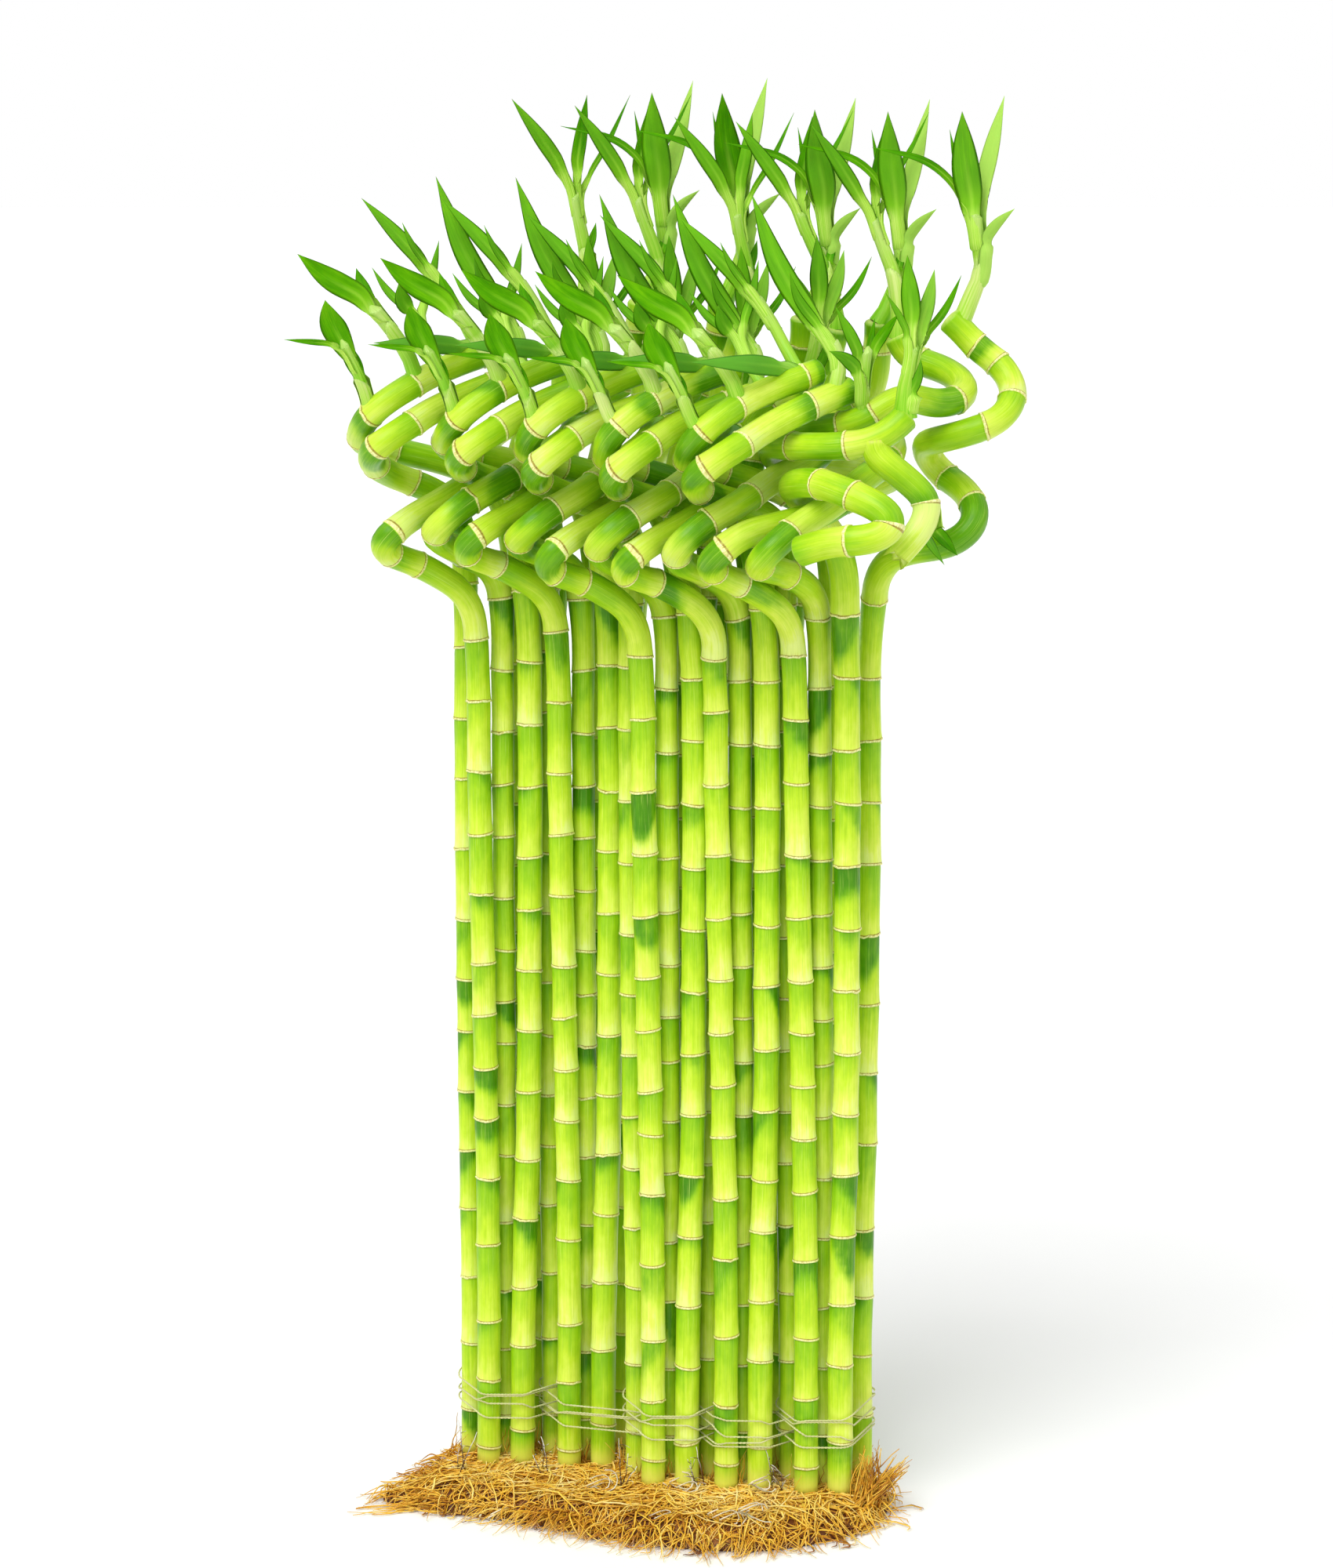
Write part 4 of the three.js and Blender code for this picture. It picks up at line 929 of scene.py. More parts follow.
def tube_faces(rows, sides):
    """Quads between rows of a tube."""
    low = (np.arange(rows - 1)[:, None] * sides + np.arange(sides)[None]).ravel()
    turned = (np.arange(rows - 1)[:, None] * sides + (np.arange(sides) + 1)[None] % sides).ravel()
    return np.stack([low, turned, turned + sides, low + sides], axis=1)


def ring_stations(ends, rings):
    """Places along a cane, close together at its rings, with how far up its internode each one is."""
    stops = [ends[0], *rings, ends[1]]
    places, shares, numbers = [], [], []
    for n, (low, high) in enumerate(zip(stops[:-1], stops[1:])):
        start = [low] if n == 0 else [low + g for g in ABOVE_RING]
        end = [high] if n == len(stops) - 2 else [high - g for g in BELOW_RING]
        parts = max(1, round((end[0] - start[-1]) / CANE_STEP))
        between = [start[-1] + (end[0] - start[-1]) * k / parts for k in range(1, parts)]
        for place in [*start, *between, *end]:
            places.append(place)
            shares.append((place - low) / (high - low))
            numbers.append(n)
    return np.array(places), np.array(shares), np.array(numbers)


def curl_stations(lengths, limb, per_point):
    """Places along the whole cane, closer together in its curl, and its rings that are far enough apart."""
    total = lengths[-1]
    kept = []
    for ring in (lengths[int(round(i * per_point))] for i in limb["rings"]):
        if END_MARGIN < ring < total - END_MARGIN and (not kept or ring - kept[-1] > SHORTEST_INTERNODE):
            kept.append(ring)
    curl_from = lengths[int(round(limb["curl_from"] * per_point))]
    places, shares, numbers = ring_stations((0.0, total), kept)
    middles = places[:-1] + np.diff(places) / 2
    wide = (np.diff(places) > CURL_STEP) & (middles > curl_from)
    places = np.concatenate([places, middles[wide]])
    order = np.argsort(places, kind="stable")
    shares = np.concatenate([shares, (shares[:-1] + np.diff(shares) / 2)[wide]])
    numbers = np.concatenate([numbers, numbers[:-1][wide]])
    return places[order], shares[order], numbers[order], np.array(kept)


def ring_profile(places, rings):
    """How a cane swells at its rings, and where the pale lip and the brown line of each one lie."""
    gap = places[:, None] - (rings if len(rings) else np.array([-99.0]))[None]
    nearest = np.abs(gap).argmin(axis=1)
    gap = gap[np.arange(len(places)), nearest]
    lip = np.where((gap > 0) & (gap < LIP_TOP + NEAR_STATION), 1.0, 0.0)
    line = np.where(np.abs(gap - LINE_AT) < NEAR_STATION, 1.0, 0.0)
    above, below = (high * np.exp(-((gap / wide) ** 2)) for high, wide in (SWELL_ABOVE, SWELL_BELOW))
    return gap, nearest, np.where(gap > 0, above, below) + LIP_HEIGHT * lip - LINE_DEPTH * line, lip, line


def painted_shade_below_ring(shares, numbers, turn, in_bend, rng):
    """Painted shade: the darker green under each ring's lip, strongest in a coil's tight bend; how strong
    it is and how it slants differ by internode.
    """
    count = numbers.max() + 1
    strong = rng.uniform(0, 1, count) ** 0.8
    start = rng.uniform(0.15, 0.75, count)
    slant = rng.uniform(0.05, 0.4, count)
    if in_bend is not None:
        strong[in_bend], start[in_bend] = SHADE_IN_BEND
    way = rng.uniform(0, FULL_TURN, count)
    slanted = slant[numbers][:, None] * np.cos(turn[None] - way[numbers][:, None])
    level = shares[:, None] + slanted
    return strong[numbers][:, None] * smoothstep(0.0, SHADE_REACH, level - start[numbers][:, None])


def add_cane(skin, limb, rng, torn_end=False):
    """One cane: a tube with a lipped ring at each node and a slight step in its way there."""
    line, lengths = dense(limb["points"])
    per_point = (len(lengths) - 1) / (len(limb["points"]) - 1)
    places, shares, numbers, rings = curl_stations(lengths, limb, per_point)
    centres = along_line(line, lengths, places)
    along, side, out = carried_frames(centres)
    count = numbers.max() + 1
    lean = rng.uniform(0, FULL_TURN)
    steps = np.array([(-1) ** n * rng.uniform(0.4, 1.0) for n in range(count)]) * ZIGZAG
    shift = steps[numbers] * (1 - 1.8 * shares) * np.where(numbers == 0, shares, 1)
    centres = centres + shift[:, None] * (side * math.cos(lean) + out * math.sin(lean))
    gap, nearest, swell, lip, brown = ring_profile(places, rings)
    radius = np.interp(places, np.linspace(0, lengths[-1], len(limb["thick"])), limb["thick"])
    radius = radius * (1 - WAIST * np.sin(np.pi * np.clip(shares, 0, 1))) + swell
    turn = around(CANE_SIDES)
    oval = 1 + OVAL * np.cos(2 * turn + rng.uniform(0, 6.3))
    ring_count = max(1, len(rings))
    scar_turn = rng.uniform(0, FULL_TURN, ring_count)
    tilt = SCAR_TILT * rng.uniform(0.3, 1.5, ring_count)
    slope = tilt[nearest][:, None] * np.cos(turn[None] - scar_turn[nearest][:, None])
    slope = slope * radius[:, None] * np.exp(-((gap / SCAR_REACH) ** 2))[:, None]
    torn = np.where(rng.uniform(0, 1, ring_count) < TORN_SHARE, TORN_TEETH, WHOLE_TEETH)
    teeth = rng.normal(0, 1, (ring_count, CANE_SIDES)) * torn[:, None]
    ragged = teeth[nearest] * np.where(lip > 0, 1.0, np.where(brown > 0, 0.6, 0.0))[:, None]
    reach = radius[:, None] * oval[None] + 0.25 * np.maximum(ragged, 0)
    points = ring_points(centres, side, out, turn, reach) + (slope + ragged)[..., None] * along[:, None]
    if torn_end:
        points[-1] += rng.uniform(*TORN_END, CANE_SIDES)[:, None] * along[-1]
    tones = rng.uniform(-1, 1, count)
    if torn_end:
        tones[-1] = PALE_TONE
    grain = tube_grain(places + rng.uniform(0, GRAIN_SHIFT), turn, CANE_GRAIN)
    caps = [
        centres[-1] + along[-1] * (TORN_HOLLOW if torn_end else up) + (points[-1] - centres[-1]) * share
        for share, up, _ in END_CAP
    ]
    # The internode at a coil's tight bend gets the strongest painted shade; every ring gets painted shade
    # below it
    bend = limb.get("bend_ring")
    if bend is not None:
        bend = int(np.searchsorted(rings, lengths[int(round(bend * per_point))] + 1))
    dark = painted_shade_below_ring(shares, numbers, turn, bend, rng)

    def with_caps(values, *on_caps):
        return np.append(values, on_caps or [values[-1]] * len(caps))[None]

    skin.add_tubes(
        np.concatenate([points, caps])[None],
        np.concatenate([grain, [grain[-1]] * len(caps)])[None],
        along=with_caps(shares, 1.0, 1.0, 1.0),
        lip=with_caps(lip, 0.0, 0.0, 0.0),
        line=with_caps(brown, 0.0, 0.0, 0.0),
        tone=with_caps(tones[numbers]),
        dark=np.concatenate([dark, [dark[-1]] * len(caps)])[None],
        cut=with_caps(np.zeros(len(places)), *(cut for *_, cut in END_CAP)),
    )


def sheath_stations(stops):
    """Places along a stem, with how far up its sheath each one is and whether it is on the rim."""
    rows = [(0.0, 0.0, 0.0)]
    for low, high in zip(stops[:-1], stops[1:]):
        rows += [(low + (high - low) * share, share, rim) for share, rim in SHEATH_ROWS]
    return np.array(rows).T


def add_stem(skin, stem, leaves, rng):
    """A leafy shoot's stem: a few long sheaths, each a little wider at its slanting top."""
    line, lengths = dense(stem["points"], 1)
    total = lengths[-1]
    per_point = (len(lengths) - 1) / (len(stem["points"]) - 1)
    tops = sorted(lengths[int(round(leaf["parent_index"] * per_point))] for leaf in leaves)
    stops = [0.0]
    for goal in [*(t for t in tops if t < total - STEM_TIP), total]:
        if goal - stops[-1] >= SHORTEST_SHEATH:
            parts = max(1, round((goal - stops[-1]) / LONGEST_SHEATH))
            stops += [stops[-1] + (goal - stops[-1]) * k / parts for k in range(1, parts + 1)]
    places, shares, rims = sheath_stations(stops)
    centres = along_line(line, lengths, places)
    along, side, out = carried_frames(centres)
    radius = np.interp(places, np.linspace(0, total, len(stem["thick"])), stem["thick"])
    flare = 1 + STEM_FLARE[0] * np.exp(-((places / STEM_FLARE[1]) ** 2))
    at_rim = np.where(shares >= 0.999, RIM_SHARE, 1)
    radius = (radius * flare + SHEATH_FLARE * shares**2 - STEM_SINK) * at_rim
    turn = around(STEM_SIDES)
    number = np.clip(np.searchsorted(stops, places - 0.01) - 1, 0, None)
    ways = rng.uniform(0, FULL_TURN) + math.pi * np.arange(len(stops)) + rng.normal(0, 0.3, len(stops))
    slope = SHEATH_SLANT * np.cos(turn[None] - ways[number][:, None]) * (radius * shares**3)[:, None]
    slope = slope * np.where(number[:, None] == number.max(), LAST_SLANT, 1)
    points = ring_points(centres, side, out, turn, radius[:, None]) + slope[..., None] * along[:, None]
    grain = tube_grain(places + rng.uniform(0, GRAIN_SHIFT), turn, STEM_GRAIN)
    tones = rng.uniform(-1, 1, len(stops))
    tip = centres[-1] + along[-1] * STEM_TIP + STEM_TIP_SHARE * (points[-1] - centres[-1])
    skin.add_tubes(
        np.concatenate([points, tip[None]])[None],
        np.concatenate([grain, grain[-1:]])[None],
        open_foot=True,
        along=np.append(shares, 1.0)[None],
        rim=np.append(rims, 0.0)[None],
        tone=np.append(tones[number], 0.0)[None],
        rise=np.append(places / total, 1.0)[None],
    )


def blade_share(b, base, widest):
    """How wide a blade is along its length, against its widest; base is how wide it starts."""
    opened = base + (1 - base) * smoothstep(0.0, widest, b)
    past = np.clip((b - widest) / (1 - widest), 0, 1)
    return opened * (1 - past**BLADE_TAPER) ** BLADE_POINT


def leaf_frames(width, along, b, stem_along, rng):
    """Which way a leaf leaves its stem, then for each row the way across it and its inner side's."""
    face = np.array([0.28 * math.sin(width * 7), -1, 0.25])
    normal = np.cross(unit(np.cross(along, face)), along)
    ahead = along[min(LEAF_ROWS - 1, int((b < 0.3).sum()))]
    leave = ahead - stem_along * (ahead @ stem_along)
    size = np.linalg.norm(leave)
    leave = leave / size if size > 0.1 else -normal[3]
    facing = normal if normal[LEAF_ROWS // 2] @ leave < 0 else -normal
    open_up = smoothstep(-0.15, 0.3, b)[:, None]
    inner = -leave * (1 - open_up) + facing * open_up
    inner = unit(inner - along * (inner * along).sum(axis=1)[:, None])
    wide = np.cross(along, inner)
    twist = (rng.uniform(-LEAF_TWIST, LEAF_TWIST) * smoothstep(0.3, 1.0, b))[:, None]
    return leave, wide * np.cos(twist) + inner * np.sin(twist), inner * np.cos(twist) - wide * np.sin(twist)


def leaf_section(b, u, half, bend, rng):
    """How far across and up each point of a channel-shaped leaf lies, and half its thickness there."""
    angle = bend[:, None] * u[None]
    arc = (half / bend)[:, None]
    waves = rng.uniform(1.2, 2.4)
    ripple = RIPPLE * half * np.sin(FULL_TURN * waves * b + rng.uniform(0, 6.3)) * smoothstep(0.1, 0.4, b)
    rise = arc * (1 - np.cos(angle)) + ripple[:, None] * (u**2 * np.sign(u))[None]
    rib = RIB_DEPTH * smoothstep(0.05, 0.2, b) * (1 - b)
    rise = rise - np.exp(-((u / RIB_WIDTH) ** 2))[None] * rib[:, None]
    thick = 0.5 * LEAF_THICKNESS * np.sqrt(np.maximum(0, 1 - u**2))[None] * (1 - 0.65 * b)[:, None]
    return arc * np.sin(angle), rise, thick


def leaf_faces(rows, columns):
    """The upper and the under side of a leaf, which share their edges, and its two short ends."""
    top = np.arange(rows * columns).reshape(rows, columns)
    under = top.copy()
    under[:, 1:-1] = rows * columns + np.arange(rows * (columns - 2)).reshape(rows, columns - 2)
    quads = []
    for index, way in ((top, 1), (under, -1)):
        corners = (index[:-1, :-1], index[:-1, 1:], index[1:, 1:], index[1:, :-1])
        quads.append(np.stack([c.ravel() for c in corners[::way]], axis=1))
    for k, (row, way) in itertools.product(range(columns - 1), ((-1, 1), (0, -1))):
        ring = (top[row, k], top[row, k + 1], under[row, k + 1], under[row, k])
        quads.append(np.array([ring[::way]]))
    return np.concatenate(quads)


def both_sides(upper, under=None):
    """Values for the points of the upper side, then for those of the under side without its edges."""
    under = upper if under is None else under
    tail = upper.shape[2:]
    return np.concatenate([upper.reshape(-1, *tail), under[:, 1:-1].reshape(-1, *tail)])


def add_leaf(skin, leaf, order, rng):
    """A leaf: its sheath clasps the stem, then it opens to a shallow channel and ends in a point."""
    stem, on, width = leaf["parent"], leaf["parent_index"], leaf["width"]
    stem_radius = stem["thick"][on]
    clasp = stem["points"][max(0, on - SHEATH_POINTS) : on]
    line, lengths = dense(np.vstack([clasp, leaf["points"]]))
    total = lengths[-1]
    early, widest = leaf.get("blade", (0, BLADE_WIDEST))
    clasp_length = max(1.0, lengths[min(len(clasp) * DENSE_PARTS, len(lengths) - 1)] - early)
    places = np.linspace(0, 1, LEAF_ROWS) * total
    b = np.clip((places - clasp_length) / (total - clasp_length), 0, 1)
    centres = along_line(line, lengths, places)
    along = carried_frames(centres)[0]
    leave, wide, inner = leaf_frames(width, along, b, carried_frames(stem["points"])[0][on], rng)
    clasped = 1 - smoothstep(0.0, CLASPED_TO, b)
    held_at = stem_radius + (LAYER_FIRST + LAYER_STEP * order)
    start_in = smoothstep(0.0, CLASP_SLIDE, places)
    centres = centres + leave * (held_at * clasped * start_in)[:, None]
    hold = min(held_at, WIDEST_CLASP * width) * CLASP_ANGLE * clasped * (0.55 + 0.45 * start_in)
    base = min(WIDEST_BASE, BASE_OF_STEM * stem_radius / width)
    half = np.maximum(width / 2 * blade_share(b, base, widest), hold)
    half[-1] = TIP_HALF_WIDTH
    spans = ((-1, -INNER_COLUMN), (INNER_COLUMN, 1))
    left, right = (np.linspace(*span, LEAF_HALF_COLUMNS) for span in spans)
    u = np.concatenate([left, [0], right])
    across, rise, thick = leaf_section(b, u, half, 0.34 + 1.1 * clasped + 0.12 * b, rng)
    middle = centres[:, None] + across[..., None] * wide[:, None]
    surfaces = [middle + (rise + way * thick)[..., None] * inner[:, None] for way in (1, -1)]
    shape = across.shape
    veins = np.zeros((*shape, 3))
    veins[..., 0] = u[None] * half[:, None]
    veins[..., 2] = (places + rng.uniform(0, GRAIN_SHIFT))[:, None]
    skin.add(
        both_sides(*surfaces),
        leaf_faces(*shape),
        both_sides(veins),
        along=both_sides(np.broadcast_to(b[:, None], shape)),
        across=both_sides(np.broadcast_to(u[None], shape)),
        clasp=both_sides(np.broadcast_to(clasped[:, None], shape)),
        side=both_sides(np.ones(shape), -np.ones(shape)),
        tone=leaf.get("tone", rng.uniform(-0.6, 1)),
    )


def outline_reach():
    """How far the root mat reaches from its centre, for each direction."""
    points = np.array(MAT_OUTLINE, float)
    knots = np.vstack([points[-1:], points, points[:2]])
    ring = rounded(knots, 2 * DENSE_PARTS) - np.array(MAT_CENTRE, float)
    angles = np.arctan2(ring[:, 1], ring[:, 0])
    order = np.argsort(angles)
    return angles[order], np.hypot(ring[:, 0], ring[:, 1])[order]


def edge_at(turn, reach):
    return np.interp(turn, *reach, period=FULL_TURN)


def from_centre(away, turn):
    """Points as far from the middle of the mat as away says, in these directions."""
    return MAT_CENTRE[0] + away * np.cos(turn), MAT_CENTRE[1] + away * np.sin(turn)


def mat_share(x, y, reach):
    """0 at the middle of the mat and 1 at its edge."""
    dx, dy = x - MAT_CENTRE[0], y - MAT_CENTRE[1]
    return np.hypot(dx, dy) / edge_at(np.arctan2(dy, dx), reach)


def mat_height(x, y, reach):
    """The felted mat's height: lumpy, with a lower edge that drops to the ground."""
    share = mat_share(x, y, reach)
    lumps = np.sin(x * 0.11 + 1.3 * np.sin(y * 0.07)) * np.sin(y * 0.13 + 0.9 * np.sin(x * 0.05))
    fine = np.sin(x * 0.45 + 2 * np.sin(y * 0.31)) * np.sin(y * 0.52 + 2 * np.sin(x * 0.27))
    flat = SHELF_HEIGHT - 1.6 + 0.9 * lumps + 0.5 * fine
    edge = MAT_EDGE_HEIGHT + 0.8 * lumps
    height = flat + (edge - flat) * smoothstep(*FELT_DROP, share)
    return height * (1 - smoothstep(FELT_DROP[1], 1.0, share))


def root_skin():
    return Skin("tone", "tip", "dead")


def build_felt(material, reach):
    """The felted body of the mat under its loose strands, dark brown as painted shade between them."""
    turn = around(FELT_SECTORS)
    shares = 0.985 * (np.arange(1, FELT_RINGS + 1) / FELT_RINGS) ** 0.8
    x, y = from_centre(shares[:, None] * edge_at(turn, reach)[None], turn[None])
    top = np.stack([x, y, np.maximum(mat_height(x, y, reach), LOWEST_FELT)], axis=2)
    under = np.stack([x[::-1], y[::-1], np.zeros_like(x)], axis=2)
    middles = [[*MAT_CENTRE, float(mat_height(*MAT_CENTRE, reach))], [*MAT_CENTRE, 0.0]]
    points = np.vstack([top.reshape(-1, 3), under.reshape(-1, 3), middles])
    skin = root_skin()
    skin.add(points, tube_faces(2 * FELT_RINGS, FELT_SECTORS), points, tone=SHADED_FELT_TONE)
    here = np.arange(FELT_SECTORS)
    after = (here + 1) % FELT_SECTORS
    low = (2 * FELT_RINGS - 1) * FELT_SECTORS
    centre = np.full(FELT_SECTORS, len(points) - 2)
    skin.faces.append(np.stack([after, here, centre], axis=1))
    skin.faces.append(np.stack([low + here, low + after, centre + 1], axis=1))
    skin.build("root_felt", material, "roots", "root_mat")


def strand_tubes(skin, paths, radii, tones, tips, **values):
    """Many thin three-sided tubes at once: paths (n, k, 3), radii (n, k), tips (n or 1, k)."""
    along = np.gradient(paths, axis=1)
    along /= np.maximum(np.linalg.norm(along, axis=2), 1e-6)[..., None]
    side = np.cross(along, [0.05, 0.02, 1.0])
    side /= np.maximum(np.linalg.norm(side, axis=2), 1e-6)[..., None]
    turn = around(3)
    points = ring_points(paths, side, np.cross(side, along), turn, radii[..., None])
    lengths = np.array([running_length(path) for path in paths])
    grain = tube_grain(lengths + 37.0 * np.arange(len(paths))[:, None], turn)
    skin.add_tubes(points, grain, tone=tones[:, None], tip=tips, **values)


def walk(x, y, steps, height_at, step_at):
    """Lines on the ground, a step at a time: step_at gives each step's length and heading."""
    paths = np.zeros((len(x), steps, 3))
    for k in range(steps):
        t = k / (steps - 1)
        paths[:, k] = np.stack([x, y, height_at(t, x, y)], axis=1)
        step, heading = step_at(x, y)
        x = x + step * np.cos(heading)
        y = y + step * np.sin(heading)
    return paths


def root_paths(rng, count, steps, reach, feet, combed):
    """Lines of loose roots that spring from the stalks' feet, flow to the front and sweep left."""
    foot = feet[rng.integers(0, len(feet), count)]
    round_foot = rng.uniform(0, FULL_TURN, count)
    far = rng.uniform(0, 1, count) < 0.5
    start = np.where(far, rng.uniform(8, 55, count), rng.uniform(4, 9, count))
    x = foot[:, 0] + start * np.cos(round_foot)
    y = foot[:, 1] + start * np.sin(round_foot)
    inward = np.minimum(1, rng.uniform(0.5, 0.86, count) / mat_share(x, y, reach))
    x = MAT_CENTRE[0] + (x - MAT_CENTRE[0]) * inward
    y = MAT_CENTRE[1] + (y - MAT_CENTRE[1]) * inward
    outward = np.arctan2(y - MAT_CENTRE[1], x - MAT_CENTRE[0])
    swept = rng.uniform(0, 1, count) < combed
    goal = SWEPT_WAY + rng.normal(0, 0.25, count)
    swept_way = SWEPT_WAY + rng.uniform(-0.2, 1.3, count)
    heading = np.where(swept, swept_way, outward + rng.normal(0, 1.0, count))
    length = rng.uniform(30, 100, count)
    bend = rng.normal(0, 0.12, count)
    lift = rng.uniform(0, 1.0, count) ** 1.3 * ROOT_HEAP
    hump = rng.uniform(0, FULL_TURN, count)
    humps = rng.uniform(0.5, 2.0, count)
    furthest = 0.93 + 0.16 * rng.uniform(0, 1, count) ** 2.2

    def height_at(t, x, y):
        loose = 0.6 + 0.4 * np.sin(hump + humps * FULL_TURN * t)
        over_edge = smoothstep(0.9, 1.02, mat_share(x, y, reach))
        return np.maximum(mat_height(x, y, reach) + lift * loose * (1 - 0.7 * over_edge), LOWEST_ROOT)

    def step_at(x, y):
        nonlocal bend, heading
        share = mat_share(x, y, reach)
        bend = 0.75 * bend + rng.normal(0, ROOT_CURL, count)
        outward = np.arctan2(y - MAT_CENTRE[1], x - MAT_CENTRE[0])
        along_edge = outward - np.sign(np.sin(outward - SWEPT_WAY)) * math.pi / 2
        turn_left, turn_along = (np.angle(np.exp(1j * (way - heading))) for way in (goal, along_edge))
        leaving = smoothstep(furthest - 0.06, furthest, share)
        heading = heading + bend + np.where(swept, turn_left * 0.13, 0) * (1 - leaving)
        heading = heading + turn_along * 0.45 * leaving
        return length / (steps - 1) * np.where(share > furthest + 0.03, 0.15, 1.0), heading

    return walk(x, y, steps, height_at, step_at), lift / ROOT_HEAP


def build_roots(material, reach, feet):
    """Loose curly roots in a few layers over the felt, darker the lower they lie, as painted shade."""
    for seed, (name, count, steps, thick, combed) in enumerate(ROOT_LAYERS):
        rng = np.random.default_rng(LAYER_SEED + seed)
        skin = root_skin()
        paths, high_up = root_paths(rng, count, steps, reach, feet, combed)
        t = np.linspace(0, 1, steps)[None]
        radii = rng.uniform(*thick, (count, 1)) * (1 - 0.55 * t**1.5)
        # Low-lying strands get a darker tone and high ones a paler one: painted shade, with a random tone
        # of each strand's own
        tones = np.clip(2.4 * high_up - 1.2 + rng.normal(0, 0.45, count), -1.7, 1.3)
        strand_tubes(skin, paths, radii, tones, t * 0.7)
        skin.build(name, material, "roots")


def add_hooked_ends(skin, rng, reach):
    """Pale hooked root ends round the front of the mat."""
    count = FRINGE_ROOTS
    turn = rng.uniform(*FRINGE_SPAN, count)
    x, y = from_centre(rng.uniform(0.86, 0.99, count) * edge_at(turn, reach), turn)
    heading = np.minimum(turn, LAST_FRINGE_WAY) + rng.normal(-0.2, 0.4, count)
    length = 8 + 20 * rng.uniform(0, 1, count) ** 1.6
    high = rng.uniform(2, 9, count)
    bend = rng.normal(-0.05, 0.14, count)

    def height_at(t, x, y):
        return np.maximum(high * ((1 - t**1.6) * (1 + 0.5 * math.sin(math.pi * t))), 0.5)

    def step_at(x, y):
        nonlocal heading
        heading = heading + bend + rng.normal(0, 0.1, count)
        return length / (FRINGE_POINTS - 1), heading

    paths = walk(x, y, FRINGE_POINTS, height_at, step_at)
    t = np.linspace(0, 1, FRINGE_POINTS)[None]
    radii = rng.uniform(*HOOKED_RADII, (count, 1)) * (1 - 0.6 * t)
    strand_tubes(skin, paths, radii, rng.uniform(-0.6, 1, count), 0.2 + 0.65 * t)


def add_rising_roots(skin, rng, feet):
    """Short roots that stand close round the stalks, most of them behind."""
    count = RISING_STRANDS
    foot = feet[rng.integers(0, len(feet), count)]
    behind = rng.uniform(0, 1, count) < 0.75
    turn = np.where(behind, rng.uniform(-0.3, math.pi + 0.3, count), rng.uniform(0, FULL_TURN, count))
    away = rng.uniform(7.5, 10, count)
    top = np.where(behind, rng.uniform(6, 26, count), rng.uniform(1, 5, count))
    lean = rng.normal(0, 0.4, count)
    paths = np.zeros((count, FRINGE_POINTS, 3))
    for k in range(FRINGE_POINTS):
        t = k / (FRINGE_POINTS - 1)
        angle = turn + lean * t * 2
        spread = away + 5 * (1 - t) ** 2 + rng.normal(0, 0.25, count)
        across, deep = spread * np.cos(angle), spread * np.sin(angle)
        paths[:, k] = np.stack([foot[:, 0] + across, foot[:, 1] + deep, SHELF_HEIGHT - 3 + top * t], axis=1)
    t = np.linspace(0, 1, FRINGE_POINTS)[None]
    radii = rng.uniform(*RISING_RADII, (count, 1)) * (1 - 0.7 * t)
    strand_tubes(skin, paths, radii, rng.uniform(-1, 0.6, count), t * 0.7)


def build_fringe(material, reach, feet):
    rng = np.random.default_rng(FRINGE_SEED)
    skin = root_skin()
    add_hooked_ends(skin, rng, reach)
    add_rising_roots(skin, rng, feet)
    skin.build("roots_fringe", material, "roots")


def add_tuft(skin, rng, t, foot, tip, count, width, tip_width):
    """A tuft of roots that stands up or sticks out of the mat."""
    t = t[:, None]
    start = seen(*foot) + rng.normal(0, width, (count, 3)) * [1, 1, 0.4]
    end = seen(*tip) + rng.normal(0, tip_width, (count, 3))
    side = rng.normal(0, 2.2, (count, 3))
    share = rng.uniform(0.55, 1.0, (count, 1, 1)) * t
    paths = start[:, None] * (1 - share) + end[:, None] * share + side[:, None] * np.sin(np.pi * t)
    paths = paths + rng.normal(0, 0.25, paths.shape) * t
    paths[..., 2] = np.maximum(paths[..., 2], LOWEST_ROOT)
    radii = rng.uniform(*TUFT_RADII, (count, 1)) * (1 - 0.6 * t[:, 0])
    strand_tubes(skin, paths, radii, rng.uniform(-0.7, 1.0, count), 0.6 * t[None, :, 0])


def add_pale_loop(skin, rng, t, centre, width):
    """A grey-white loop of an old root that lies on the mat."""
    angle = rng.uniform(0, 6.3) + t * rng.uniform(2.5, 5.0)
    swell = width * (0.6 + 0.4 * rng.uniform()) * (1 + 0.3 * t)
    loop = centre + rng.normal(0, 2.5, 3) * [1, 0.3, 0.6]
    round_it = [swell * np.cos(angle), 0.5 * swell * np.sin(2 * angle), 0.55 * swell * np.sin(angle)]
    loop = loop + np.stack(round_it, axis=1)
    loop[:, 2] = np.maximum(loop[:, 2], LOWEST_FELT)
    whole = np.ones((1, len(t)))
    strand_tubes(skin, loop[None], ROOTLET_RADIUS * whole, np.ones(1), whole)


